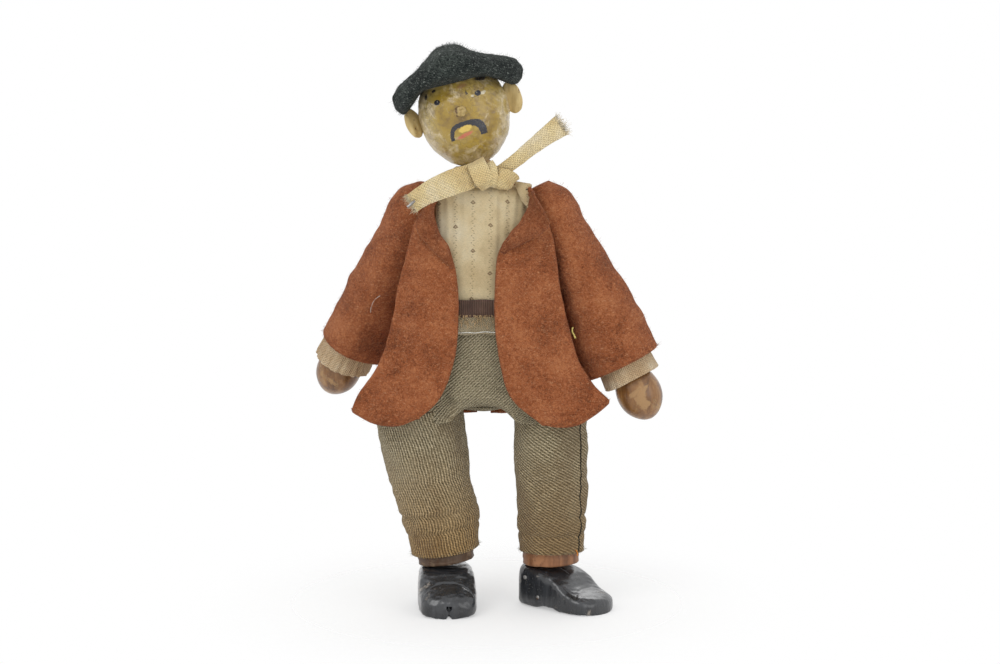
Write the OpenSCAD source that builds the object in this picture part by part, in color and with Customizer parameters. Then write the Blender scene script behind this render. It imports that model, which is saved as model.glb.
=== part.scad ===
// Elastic-strung wooden doll in a felt tail coat. It faces -Y and stands on its shoes at z = 0.
// Right and left are the doll's own, so its right arm lies on the -X side.

/* [Torso] */
// Width of the wooden torso between its shoulder seats
torso_w = 34; // [32:0.5:34.5]
// Depth of the wooden torso
torso_d = 24; // [21:0.5:24.5]
// Height of the shoulder joints above the hip joints
torso_h = 64; // [62:1:67]
// Distance between the two shoulder joints
shoulder_span = 47; // [46:0.5:50]
// Distance between the two hip joints
hip_span = 44; // [43:0.5:46]
// Diameter of the elastic cord
cord_d = 2.4; // [1.6:0.2:2.8]

/* [Head] */
// Width of the turned head
head_w = 32; // [30:0.5:34]
// Height of the turned head
head_h = 37; // [35:0.5:39]
// Height of the neck joint above the shoulder joints
neck_rise = 12; // [11:0.5:13]
// Diameter of the wooden neck ball
neck_d = 13; // [11:0.5:14]
// How far the head leans to the doll's right, in degrees
head_lean = 14; // [5:1:18]
// Width of the beret
beret_w = 45; // [43:0.5:48]
// Height of the beret
beret_h = 12.6; // [12:0.2:15]

/* [Arms] */
// Length of an arm from the shoulder joint to the finger tips
arm_len = 83; // [80:1:86]
// Diameter of the ball at the top of an arm
arm_ball_d = 16; // [14:0.5:17]
// Widest diameter of a hand
hand_d = 16; // [14:0.5:17]
// How far the right arm stands off the body, in degrees
arm_out_right = 24; // [23:1:30]
// How far the left arm stands off the body, in degrees
arm_out_left = 26; // [23:1:30]
// How far the right arm swings back, in degrees
arm_back_right = 24; // [15:1:30]

/* [Legs] */
// Length of a leg from the hip joint to its lower end
leg_len = 59.5; // [58:0.5:61]
// Diameter of the ball at the top of a leg
leg_ball_d = 17; // [15:0.5:18]
// Diameter of a leg at the ankle
ankle_d = 20.4; // [19:0.2:21]
// How far the right leg leans inwards, in degrees
leg_in_right = 8; // [2:1:9]
// How far the left leg leans outwards, in degrees
leg_out_left = 2; // [0:1:5]
// How far the left shoe turns outwards, in degrees
foot_turn_left = 48; // [30:1:55]
// How far the right shoe turns inwards, in degrees
foot_turn_right = 4; // [0:1:8]
// Length of a shoe
shoe_len = 35; // [33:0.5:37]
// Width of a shoe
shoe_w = 20.6; // [19.5:0.2:22]

/* [Clothes] */
// Thickness of the felt
felt_t = 1.3; // [1:0.1:1.5]
// Thickness of the trouser twill
twill_t = 0.6; // [0.5:0.1:0.8]
// Thickness of the shirt cotton and of the woven tape
cotton_t = 0.6; // [0.5:0.1:0.8]
// Length of the coat from the collar to the lowest point of its hem
coat_len = 84; // [80:1:86]
// Half of the coat's width at the hem
coat_half_w = 45; // [43:0.5:47]
// Distance from the shoulder joint to a sleeve's hem
sleeve_len = 60; // [58:0.5:62]
// Width of a sleeve at its hem
sleeve_w = 28; // [25:0.5:29]
// Length of a shirt cuff
cuff_len = 13; // [11:0.5:14]
// Width of the belt
belt_w = 5.4; // [4:0.2:6.5]
// Width of the neckerchief's tape
tape_w = 7.5; // [6:0.5:8.5]

/* [Hidden] */

$fn = 48;
// Clearances: a running fit, the air between two layers of cloth, and the overrun of a cut
fit = 0.3;
air = 0.4;
over = 1;
// The body's middle plane lies a little to the doll's right of the middle between its hands
body_x = -1.2;
body_y = -5.4;
shoe_h = 17.2;
ankle_gap = 1.6;
pin_d = 1.8;
// Each leg stands on its shoe, so the joints above it rise with its length
hip_z = shoe_h + fit + (leg_len + ankle_gap) * cos(leg_in_right);
shoulder_z = hip_z + torso_h;
neck_z = shoulder_z + neck_rise;
felt_colour = "saddlebrown";
wood_colour = "burlywood";
cotton_colour = "antiquewhite";
twill_colour = "darkkhaki";
black_colour = "dimgray";

// Value between two ends
function mix_of(a, b, t) = a + (b - a) * t;
function clamp_to(v, low, high) = min(max(v, low), high);
function unit_of(v) = v / max(norm(v), 1e-9);
function swell(t) = sin(180 * clamp_to(t, 0, 1));

// Smooth curve through a list of values or points, read at a share s of its length
function curve_piece(a, b, c, d, t) =
  0.5 * (2 * b + (c - a) * t + (2 * a - 5 * b + 4 * c - d) * t * t + (3 * b - a - 3 * c + d) * t * t * t);
function curve_at(list, s) =
  let (last = len(list) - 1, place = clamp_to(s, 0, 1) * last, k = min(floor(place), last - 1))
  curve_piece(list[max(k - 1, 0)], list[k], list[k + 1], list[min(k + 2, last)], place - k);

// A cloth grid has rows of points from top to bottom. These read it, find its normal and grow it.
function grid_at(g, i, j, ring) =
  let (rows = len(g), cols = len(g[0]))
  g[clamp_to(i, 0, rows - 1)][ring ? (j + cols) % cols : clamp_to(j, 0, cols - 1)];
function grid_normal(g, i, j, ring) =
  unit_of(cross(grid_at(g, i, j + 1, ring) - grid_at(g, i, j - 1, ring),
                grid_at(g, i + 1, j, ring) - grid_at(g, i - 1, j, ring)));
function grown(g, t, ring) =
  [for (i = [0:len(g) - 1]) [for (j = [0:len(g[0]) - 1]) g[i][j] + t * grid_normal(g, i, j, ring)]];
function flat_list(g) = [for (row = g) for (p = row) p];

// Closed solid between two grids of the same size. A ring closes on itself across its columns.
module between(front, back, ring = false) {
  rows = len(front);
  cols = len(front[0]);
  n = rows * cols;
  last = ring ? cols - 1 : cols - 2;
  function at(i, j) = i * cols + j % cols;
  function pair(a, b, c, d) = [[a, b, c], [a, c, d]];
  front_faces = [for (i = [0:rows - 2]) for (j = [0:last])
    each pair(at(i, j), at(i + 1, j), at(i + 1, j + 1), at(i, j + 1))];
  back_faces = [for (i = [0:rows - 2]) for (j = [0:last])
    each pair(n + at(i, j), n + at(i, j + 1), n + at(i + 1, j + 1), n + at(i + 1, j))];
  top_faces = [for (j = [0:last])
    each pair(at(0, j), at(0, j + 1), n + at(0, j + 1), n + at(0, j))];
  low_faces = [for (j = [0:last]) let (i = rows - 1)
    each pair(at(i, j), n + at(i, j), n + at(i, j + 1), at(i, j + 1))];
  side_faces = ring ? [] : [for (i = [0:rows - 2])
    each concat(pair(at(i, 0), n + at(i, 0), n + at(i + 1, 0), at(i + 1, 0)),
      let (j = cols - 1) pair(at(i, j), at(i + 1, j), n + at(i + 1, j), n + at(i, j)))];
  polyhedron(concat(flat_list(front), flat_list(back)),
    concat(front_faces, back_faces, top_faces, low_faces, side_faces));
}
module cloth(g, thick, ring = false) {
  between(g, grown(g, -thick, ring), ring);
}

// Closed solid round an axis from a ring grid whose first and last rows are closed by fans
module capped_form(g) {
  rows = len(g);
  cols = len(g[0]);
  n = rows * cols;
  function at(i, j) = i * cols + j % cols;
  function average(row, k) = let (v = [for (p = row) p[k]]) v * [for (p = row) 1 / cols];
  first_pole = [for (k = [0:2]) average(g[0], k)];
  last_pole = [for (k = [0:2]) average(g[rows - 1], k)];
  wall = [for (i = [0:rows - 2]) for (j = [0:cols - 1])
    each [[at(i, j), at(i + 1, j), at(i + 1, j + 1)], [at(i, j), at(i + 1, j + 1), at(i, j + 1)]]];
  first_fan = [for (j = [0:cols - 1]) [n, at(0, j), at(0, j + 1)]];
  last_fan = [for (j = [0:cols - 1]) [n + 1, at(rows - 1, j + 1), at(rows - 1, j)]];
  polyhedron(concat(flat_list(g), [first_pole, last_pole]), concat(wall, first_fan, last_fan));
}

// Frames of the joints
neck_shift = 1.2;
neck_x = body_x - neck_shift;
arm_out = [arm_out_right, -arm_out_left];
arm_back = [arm_back_right, 0];
leg_out = [-leg_in_right, -leg_out_left];
foot_turn = [foot_turn_right, foot_turn_left];
function side_of(k) = k == 0 ? -1 : 1;
module at_shoulder(k) {
  translate([body_x + side_of(k) * shoulder_span / 2, body_y, shoulder_z])
    rotate([arm_back[k], 0, 0]) children();
}
module at_arm(k) {
  at_shoulder(k) rotate([0, arm_out[k], 0]) children();
}
module at_hip(k) {
  translate([body_x + side_of(k) * hip_span / 2, body_y, hip_z]) children();
}
module at_leg(k) {
  at_hip(k) rotate([0, leg_out[k], 0]) children();
}
module at_ankle(k) {
  at_leg(k) translate([0, 0, -leg_len - ankle_gap / 2]) children();
}
module at_neck() {
  translate([neck_x, body_y, neck_z]) children();
}
module at_head() {
  at_neck() rotate([0, -head_lean, 0]) children();
}

// Torso: a sawn block with rounded edges, dished where the limbs and the neck ball seat
neck_seat_share = 0.34;
hip_seat_share = 0.32;
torso_top = neck_z - neck_d * neck_seat_share;
torso_low = hip_z - leg_ball_d * hip_seat_share;
edge_r = 9;
cord_bore_d = cord_d + 2 * fit;
module rounded_plan(w, d, r) {
  corner_x = w / 2 - r;
  corner_y = d / 2 - r;
  square([w, 2 * corner_y], center = true);
  square([2 * corner_x, d], center = true);
  for (x = [-corner_x, corner_x])
    for (y = [-corner_y, corner_y])
      translate([x, y]) circle(r);
}
torso_outline_shares = [[-0.19, 1], [-0.44, 0.94], [-0.5, 0.86], [-0.47, 0.5], [-0.46, 0.36], [-0.345, 0.26],
  [-0.335, 0.05], [-0.28, 0], [0.28, 0], [0.335, 0.05], [0.345, 0.26], [0.46, 0.36], [0.47, 0.5], [0.5, 0.86],
  [0.44, 0.94], [0.19, 1]];
torso_side_shares = [[-0.48, 1], [-0.5, 0.9], [-0.5, 0.34], [-0.37, 0.22], [-0.35, 0.04], [-0.3, 0], [0.3, 0],
  [0.35, 0.04], [0.37, 0.22], [0.5, 0.34], [0.5, 0.9], [0.48, 1]];
module torso_block() {
  tall = torso_top - torso_low;
  intersection() {
    translate([0, 0, torso_low]) linear_extrude(tall) rounded_plan(torso_w, torso_d, edge_r);
    translate([0, torso_d / 2, torso_low]) rotate([90, 0, 0])
      linear_extrude(torso_d) polygon([for (p = torso_outline_shares) [p[0] * torso_w, p[1] * tall]]);
    translate([-torso_w / 2, 0, torso_low]) rotate([90, 0, 90])
      linear_extrude(torso_w) polygon([for (p = torso_side_shares) [p[0] * torso_d, p[1] * tall]]);
  }
}
module torso() {
  color(wood_colour) difference() {
    translate([body_x, body_y, 0]) torso_block();
    for (k = [0, 1]) {
      at_shoulder(k) sphere(arm_ball_d / 2 + fit);
      at_hip(k) sphere(leg_ball_d / 2 + fit);
    }
    at_neck() sphere(neck_d / 2 + fit);
    for (z = [shoulder_z, hip_z])
      translate([body_x, body_y, z]) rotate([0, 90, 0]) cylinder(d = cord_bore_d, h = torso_w, center = true);
    translate([neck_x, body_y, shoulder_z]) cylinder(d = cord_bore_d, h = neck_rise);
  }
}

// Elastic from the torso's bore to an eye round the limb's cross pin
eye_d = 4.4;
module limb_cord(k, span) {
  inner = cord_bore_d / 2 + fit;
  color(black_colour) difference() {
    union() {
      translate([-side_of(k) * (span / 2 - inner), 0, 0]) rotate([0, side_of(k) * 90, 0])
        cylinder(d = cord_d, h = span / 2 - inner);
      rotate([90, 0, 0]) cylinder(d = eye_d, h = cord_d, center = true);
    }
    rotate([90, 0, 0]) cylinder(d = pin_d + 2 * fit, h = cord_d + over, center = true);
  }
}
module shoulder_cord_right() { at_shoulder(0) limb_cord(0, shoulder_span); }
module shoulder_cord_left() { at_shoulder(1) limb_cord(1, shoulder_span); }
module hip_cord_right() { at_hip(0) limb_cord(0, hip_span); }
module hip_cord_left() { at_hip(1) limb_cord(1, hip_span); }

// Saw slot and pin hole in a limb's ball, on the side that faces the torso
module ball_cuts(k, ball_d, low) {
  wide = cord_d + 2 * fit;
  reach = ball_d / 2 + over;
  translate([side_of(k) > 0 ? -reach : -eye_d / 2 - fit, -wide / 2, -low])
    cube([reach + eye_d / 2 + fit, wide, reach + low]);
  rotate([90, 0, 0]) cylinder(d = pin_d, h = ball_d + over, center = true);
}
pin_share = 0.88;
module limb_pin(ball_d) {
  color("silver") rotate([90, 0, 0]) cylinder(d = pin_d, h = ball_d * pin_share, center = true);
}
module shoulder_pin_right() { at_arm(0) limb_pin(arm_ball_d); }
module shoulder_pin_left() { at_arm(1) limb_pin(arm_ball_d); }
module hip_pin_right() { at_leg(0) limb_pin(leg_ball_d); }
module hip_pin_left() { at_leg(1) limb_pin(leg_ball_d); }

// Arm and hand turned from one stick: each point is a share of the length and of the hand's radius
arm_shares = [[0.06, 0.78], [0.15, 0.8], [0.3, 0.84], [0.46, 0.72], [0.6, 0.62], [0.7, 0.54], [0.755, 0.56],
  [0.8, 0.82], [0.85, 0.98], [0.89, 1], [0.93, 0.9], [0.965, 0.66], [0.99, 0.34], [1, 0]];
arm_steps = 40;
module arm(k) {
  outline = [for (i = [0:arm_steps]) let (p = curve_at(arm_shares, i / arm_steps))
    [max(p[1], 0) * hand_d / 2, -min(p[0], 1) * arm_len]];
  color("sienna") at_arm(k) difference() {
    union() {
      sphere(d = arm_ball_d);
      rotate_extrude() polygon(concat([[0, 0]], outline));
    }
    ball_cuts(k, arm_ball_d, eye_d / 2 + fit);
  }
}
module arm_right() { arm(0); }
module arm_left() { arm(1); }

// Leg turned from one stick, with a narrow waist under its ball and a square-cut lower end
leg_shares = [[0.08, 0.6], [0.18, 0.66], [0.26, 0.84], [0.36, 0.92], [0.6, 0.96], [0.85, 0.99], [0.955, 1],
  [0.985, 0.95], [1, 0.82]];
leg_steps = 18;
ankle_cord_d = 5;
ankle_cord_in = 12;
slot_low = 5.2;
module leg(k) {
  outline = [for (i = [0:leg_steps]) let (p = curve_at(leg_shares, i / leg_steps))
    [p[1] * ankle_d / 2, -min(p[0], 1) * leg_len]];
  color("saddlebrown") at_leg(k) difference() {
    union() {
      sphere(d = leg_ball_d);
      rotate_extrude() polygon(concat([[0, 0]], outline, [[0, -leg_len]]));
    }
    ball_cuts(k, leg_ball_d, slot_low);
    translate([0, 0, -leg_len - over]) cylinder(d = ankle_cord_d + 2 * fit, h = ankle_cord_in + fit + over);
  }
}
module leg_right() { leg(0); }
module leg_left() { leg(1); }

// Elastic that ties a shoe to its leg, with a knot that the shoe tilts on
module ankle_cord(k) {
  color(black_colour) at_ankle(k) {
    sphere(d = ankle_cord_d);
    cylinder(d = ankle_cord_d, h = ankle_gap / 2 + ankle_cord_in);
  }
}
module ankle_cord_right() { ankle_cord(0); }
module ankle_cord_left() { ankle_cord(1); }

// Shoe cut from a block by its plan, its side outline and its front outline, and hollowed under the arch
heel_in = 10.4;
arch_shares = [0.32, 0.62];
arch_h = 1.1;
notch_w = 1.6;
notch_h = 3.6;
notch_in = 2.4;
shoe_side_shares = [[0.03, 0], [0, 0.08], [-0.02, 0.5], [0.02, 0.95], [0.03, 1], [0.6, 1], [0.66, 0.94],
  [0.74, 0.76], [0.82, 0.66], [0.9, 0.55], [0.96, 0.4], [1, 0.2], [0.99, 0.06], [0.95, 0]];
shoe_front_shares = [[-0.46, 0], [-0.5, 0.14], [-0.5, 0.6], [-0.49, 0.92], [-0.46, 1], [0.46, 1], [0.49, 0.92],
  [0.5, 0.6], [0.5, 0.14], [0.46, 0]];
outline_steps = 30;
function shoe_y(share) = heel_in - share * shoe_len;
module shoe_blank() {
  toe_r = shoe_w / 2;
  intersection() {
    linear_extrude(shoe_h) {
      circle(shoe_w / 2);
      translate([0, shoe_y(1) + toe_r]) circle(toe_r);
      translate([-toe_r, shoe_y(1) + toe_r]) square([shoe_w, shoe_len - heel_in - toe_r]);
    }
    translate([-shoe_w, 0, 0]) rotate([90, 0, 90]) linear_extrude(2 * shoe_w)
      polygon([for (i = [0:outline_steps]) let (p = curve_at(shoe_side_shares, i / outline_steps))
        [shoe_y(p[0]), max(min(p[1], 1), 0) * shoe_h]]);
    translate([0, shoe_len, 0]) rotate([90, 0, 0]) linear_extrude(2 * shoe_len)
      polygon([for (p = shoe_front_shares) [p[0] * shoe_w, p[1] * shoe_h]]);
  }
}
module on_sole(k) {
  out = leg_out[k];
  reach = leg_len + ankle_gap / 2;
  translate([body_x + side_of(k) * hip_span / 2 - sin(out) * reach, body_y, 0])
    rotate([0, 0, foot_turn[k]]) children();
}
module shoe(k) {
  color(black_colour) difference() {
    on_sole(k) difference() {
      shoe_blank();
      translate([-shoe_w, shoe_y(arch_shares[1]), -over])
        cube([2 * shoe_w, shoe_y(arch_shares[0]) - shoe_y(arch_shares[1]), over + arch_h]);
      translate([-notch_w / 2, shoe_y(1) - over, -over]) cube([notch_w, notch_in + over, notch_h + over]);
    }
    at_ankle(k) sphere(d = ankle_cord_d + 2 * fit);
  }
}
module shoe_right() { shoe(0); }
module shoe_left() { shoe(1); }

// Head turned as an egg that is a little wider above its middle, dished below for the neck ball
head_seat = 3.5;
head_mid = head_seat + head_h / 2;
egg_share = 0.05;
head_steps = 36;
function head_r(a) = head_w / 2 * cos(a) * (1 + egg_share * sin(a));
function head_up(a) = head_mid + head_h / 2 * sin(a);
module head_blank(glue = 0) {
  rotate_extrude() polygon([for (i = [0:head_steps]) let (a = -90 + 180 * i / head_steps)
    [max(head_r(a) + glue * cos(a), 0), head_up(a) + glue * sin(a)]]);
}
module head() {
  color("goldenrod") at_head() difference() {
    head_blank();
    sphere(d = neck_d + 2 * fit);
    cylinder(d = cord_bore_d, h = head_mid);
  }
}
glue_t = 0.05;
ear_r = 5.2;
ear_t = 2.6;
ear_up = 1.8;
ear_turn = 25;
nose_r = 2.1;
nose_up = 2.6;
module ear(k) {
  color("tan") at_head() difference() {
    translate([side_of(k) * (head_w / 2 + ear_t / 4), 0, head_mid + ear_up]) intersection() {
      rotate([0, 0, 90 - side_of(k) * 90]) sphere(ear_r);
      rotate([0, 0, -side_of(k) * ear_turn]) cube([4 * ear_r, ear_t, 4 * ear_r], center = true);
    }
    head_blank(glue_t);
  }
}
module ear_right() { ear(0); }
module ear_left() { ear(1); }
module nose() {
  color("goldenrod") at_head() difference() {
    translate([0, -head_r(0), head_mid + nose_up]) sphere(nose_r);
    head_blank(glue_t);
  }
}

// Wooden bead of the neck, and the elastic below it
module neck_ball() {
  color(wood_colour) at_neck() difference() {
    sphere(d = neck_d);
    cylinder(d = cord_bore_d, h = neck_d + over, center = true);
  }
}
module neck_cord() {
  low = shoulder_z + cord_bore_d / 2 + 2 * fit;
  color(black_colour) translate([neck_x, body_y, low])
    cylinder(d = cord_d, h = neck_z - neck_d / 2 - fit - low);
}

// Felt beret: it bulges over its brim, droops to the doll's right and fits the head inside
beret_rows = 9;
beret_cols = 28;
beret_fit_rows = 3;
brim_angle = 40;
crown_angle = 84;
droop_share = 0.42;
droop_shares = [0, 0.1, 0.5, 0.9, 1, 0.6, 0];
beret_r_shares = [0.12, 0.5, 0.78, 0.95, 1, 0.93, 0.76];
beret_up_shares = [1, 0.94, 0.8, 0.62, 0.38, 0.15, 0];
function lobe(a) = 1 + 0.05 * cos(3 * a + 40) + 0.03 * cos(5 * a);
function droop(a) = pow(max(cos(a - 180), 0), 3);
function beret_point(s, a) =
  let (low = head_up(brim_angle), r = beret_w / 2 * curve_at(beret_r_shares, s) * lobe(a),
    z = low + beret_h * curve_at(beret_up_shares, s))
  [r * cos(a), r * sin(a), z - beret_h * droop_share * droop(a) * curve_at(droop_shares, s)];
function beret_inside(s, a) =
  let (b = mix_of(brim_angle, crown_angle, s)) [(head_r(b) + air) * cos(a), (head_r(b) + air) * sin(a),
    head_up(b) + air * sin(b)];
module beret() {
  turns = [for (j = [0:beret_cols - 1]) -360 * j / beret_cols];
  color("darkslategray") at_head() capped_form(concat(
    [for (i = [0:beret_rows]) [for (a = turns) beret_point(i / beret_rows, a)]],
    [for (i = [0:beret_fit_rows]) [for (a = turns) beret_inside(i / beret_fit_rows, a)]]));
}

// Point of a cloth ring round the body: turn 0 is the middle of the back, and a low m squares the ring's plan
function squared(v, m) = sign(v) * pow(abs(v), m);
function body_point(w, d, z, turn, m) =
  [body_x + w * squared(sin(turn), m), body_y + d * squared(cos(turn), m), z];
function rounds(cols) = [for (j = [0:cols - 1]) 360 * j / cols];

// Shirt: a cotton tube round the torso, open at the arms, with a stitched pleat down its front
belt_rise = 27.4;
belt_z = hip_z + belt_rise;
shirt_w = torso_w + 2 * fit + 2 * cotton_t;
shirt_d = torso_d + 2 * fit + 2 * cotton_t;
shirt_rise = 3;
shirt_top = shoulder_z + shirt_rise;
pleat_w = 4.2;
pleat_x = 2.6;
arm_clear = 13.8;
module tube_of_plan(w, d, thick, low, tall) {
  translate([body_x, body_y, low]) linear_extrude(tall) difference() {
    rounded_plan(w, d, edge_r);
    rounded_plan(w - 2 * thick, d - 2 * thick, edge_r - thick);
  }
}
module shirt_body() {
  color(cotton_colour) difference() {
    tube_of_plan(shirt_w, shirt_d, cotton_t, belt_z, shirt_top - belt_z);
    for (k = [0, 1]) at_shoulder(k) sphere(arm_clear);
  }
}
belt_t = 1.2;
belt_bore_w = shirt_w + 2 * fit;
belt_bore_d = shirt_d + 2 * fit + 2 * cotton_t;
module shirt_pleat() {
  color(cotton_colour) translate([body_x + pleat_x - pleat_w / 2, body_y - shirt_d / 2 - cotton_t, belt_z])
    cube([pleat_w, cotton_t, shirt_top - belt_z]);
}
module belt() {
  color("maroon")
    tube_of_plan(belt_bore_w + 2 * belt_t, belt_bore_d + 2 * belt_t, belt_t, belt_z + fit, belt_w);
}

// Trouser seat: a twill bag round the hips, open over each leg, with a strip between the legs
seat_top = belt_z - fit;
seat_rows = 8;
seat_cols = 24;
seat_drop = 13.2;
seat_low = hip_z - seat_drop;
seat_square = 0.78;
seat_w_adds = [1.6, 3.2, 7, 11.4, 14, 15.4, 16.4, 18];
seat_d_adds = [1.8, 1.7, 1.3, 1.1, 1.2, 1.5, 1.9, 2.4];
function seat_point(s, turn) =
  body_point(torso_w / 2 + curve_at(seat_w_adds, s), torso_d / 2 + curve_at(seat_d_adds, s),
    mix_of(seat_top, seat_low, s), turn, seat_square);
module trouser_seat() {
  color(twill_colour) cloth([for (i = [0:seat_rows]) [for (a = rounds(seat_cols))
    seat_point(i / seat_rows, a)]], twill_t, ring = true);
}
crotch_half_w = 7.4;
crotch_in = 1.2;
crotch_drop = 1.2;
crotch_rows = 6;
crotch_cols = 5;
module trouser_crotch() {
  half_d = torso_d / 2 - crotch_in;
  color(twill_colour) cloth([for (i = [0:crotch_rows]) let (y = mix_of(-half_d, half_d, i / crotch_rows))
    [for (j = [0:crotch_cols]) let (x = mix_of(-1, 1, j / crotch_cols))
      [body_x + x * crotch_half_w, body_y + y,
        torso_low - fit - crotch_drop * swell(i / crotch_rows)]]], twill_t);
}

// Trouser legs: tubes of twill that narrow to the ankle, fuller on the outer side
trouser_top = 14;
hem_rise = 3;
trouser_end = leg_len - hem_rise;
trouser_rows = 10;
trouser_cols = 20;
trouser_out_adds = [[7, 6, 4.2, 3, 2], [4, 3.6, 3, 2.6, 2]];
trouser_in_adds = [[1.8, 2.6, 2.4, 2, 1.2], [1.6, 1.4, 1.2, 1.1, 1.1]];
trouser_deep_adds = [[3.4, 3.2, 2.8, 2.2, 1.4], [3, 2.8, 2.4, 1.8, 1.2]];
crease_h = 0.35;
crease_share = 0.72;
crease_turns = 2.5;
function tube_point(k, out, in, deep, turn, z) =
  [side_of(k) * (cos(turn) > 0 ? out : in) * cos(turn), side_of(k) * deep * sin(turn), z];
module trouser_leg(k) {
  r = ankle_d / 2;
  color(twill_colour) at_leg(k) cloth([for (i = [0:trouser_rows])
    let (s = i / trouser_rows,
      fold = crease_h * swell(2 * abs(s - crease_share)) * sin(360 * crease_turns * s) * swell(s))
    [for (a = rounds(trouser_cols))
      tube_point(k, r + curve_at(trouser_out_adds[k], s) + fold, r + curve_at(trouser_in_adds[k], s),
        r + curve_at(trouser_deep_adds[k], s) - fold, -a, -mix_of(trouser_top, trouser_end, s))]],
    twill_t, ring = true);
}
module trouser_leg_right() { trouser_leg(0); }
module trouser_leg_left() { trouser_leg(1); }

// Sleeves: felt tubes that open like a trumpet, hung more to the body's side at the hem
sleeve_top = 9;
sleeve_rows = 10;
sleeve_cols = 20;
sleeve_out_shares = [0.336, 0.372, 0.405, 0.43, 0.446];
sleeve_in_shares = [0.29, 0.32, 0.385, 0.475, 0.554];
sleeve_deep_shares = [0.325, 0.34, 0.355, 0.38, 0.4];
function sleeve_point(k, s, turn) =
  tube_point(k, sleeve_w * curve_at(sleeve_out_shares, s), sleeve_w * curve_at(sleeve_in_shares, s),
    sleeve_w * curve_at(sleeve_deep_shares, s), turn, -mix_of(sleeve_top, sleeve_len, s));
module sleeve(k) {
  color(felt_colour) at_arm(k) cloth([for (i = [0:sleeve_rows]) [for (a = rounds(sleeve_cols))
    sleeve_point(k, i / sleeve_rows, -a)]], felt_t, ring = true);
}
module sleeve_right() { sleeve(0); }
module sleeve_left() { sleeve(1); }

// Sleeve heads: the felt that is eased over the shoulder ball, above the sleeve
head_rows = 5;
head_cols = 12;
head_turn = 115;
head_r_adds = [-3.4, 0.7, 2.1, 2.1, 1.4];
head_lift = 0.9;
module sleeve_head(k) {
  ball_r = arm_ball_d / 2;
  color(felt_colour) at_arm(k) cloth([for (i = [0:head_rows]) let (s = i / head_rows)
    [for (j = [0:head_cols])
      let (a = head_turn * (1 - 2 * j / head_cols), r = ball_r + curve_at(head_r_adds, s))
      [side_of(k) * r * cos(a), side_of(k) * r * sin(a),
        mix_of(ball_r + head_lift, fit - sleeve_top, s)]]], felt_t);
}
module sleeve_head_right() { sleeve_head(0); }
module sleeve_head_left() { sleeve_head(1); }

// Shirt cuffs, gathered round the top of each hand
cuff_rows = 3;
cuff_cols = 18;
cuff_wide_adds = [1.2, 1.6, 2];
cuff_deep_adds = [0.2, 0.4, 0.6];
cuff_end_share = 0.83;
module cuff(k) {
  cuff_low = arm_len * cuff_end_share;
  color(cotton_colour) at_arm(k) cloth([for (i = [0:cuff_rows]) let (s = i / cuff_rows)
    [for (a = rounds(cuff_cols))
      [side_of(k) * (hand_d / 2 + curve_at(cuff_wide_adds, s)) * cos(-a),
        side_of(k) * (hand_d / 2 + curve_at(cuff_deep_adds, s)) * sin(-a),
        -mix_of(cuff_low - cuff_len, cuff_low, s)]]], cotton_t, ring = true);
}
module cuff_right() { cuff(0); }
module cuff_left() { cuff(1); }

// Coat back: it wraps the neck, lies flat behind the arms and wraps the sides below the armholes
collar_drop = 3.5;
coat_top = neck_z - collar_drop;
waist_rise = 19.6;
back_low = hip_z + waist_rise;
back_rows = 10;
back_cols = 16;
back_w_adds = [-3.4, 1, 1.6, 1.4, 1.6, 2.6, 4.2, 5.4, 7.2];
back_d_adds = [2.1, 3.5, 3.6, 3.6, 3.6, 3.6, 4.7, 5.4, 5.4];
back_turns = [112, 66, 60, 60, 62, 86, 94, 94, 94];
back_squares = [0.8, 0.3, 0.14, 0.14, 0.16, 0.42, 0.4, 0.38, 0.45];
function back_half(s) = torso_w / 2 + curve_at(back_w_adds, s);
function back_deep(s) = torso_d / 2 + curve_at(back_d_adds, s);
function back_point(s, u) =
  body_point(back_half(s), back_deep(s), mix_of(coat_top, back_low, s),
    u * curve_at(back_turns, s), curve_at(back_squares, s));
module coat_back() {
  color(felt_colour) cloth([for (i = [0:back_rows]) [for (j = [0:back_cols])
    back_point(i / back_rows, 2 * j / back_cols - 1)]], felt_t);
}

// Coat tails: the two halves of the skirt, parted at the back vent
tail_rows = 6;
tail_cols = 8;
tail_w_adds = [7.2, 12.4, 16.2, 18.4, 19.8];
tail_d_adds = [5.4, 5.8, 6.4, 7.4, 8.8];
vent_turn = 0.5;
tail_end_share = 0.95;
tail_flare_len = 26.6;
tail_wave = 0.7;
tail_waves = 2;
tail_square = 0.55;
module coat_tail(k) {
  top = back_low - fit;
  low = coat_top - coat_len * tail_end_share;
  color(felt_colour) cloth([for (i = [0:tail_rows])
    let (s = i / tail_rows, flare = s * (top - low) / tail_flare_len)
    [for (j = [0:tail_cols])
      let (u = k == 1 ? j / tail_cols : 1 - j / tail_cols, wave = s * tail_wave * sin(360 * tail_waves * u))
      body_point(torso_w / 2 + curve_at(tail_w_adds, flare) + wave,
        torso_d / 2 + curve_at(tail_d_adds, flare) + wave, mix_of(top, low, s),
        side_of(k) * mix_of(vent_turn, back_turns[8], u), tail_square)]], felt_t);
}
module coat_tail_right() { coat_tail(0); }
module coat_tail_left() { coat_tail(1); }

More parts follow.
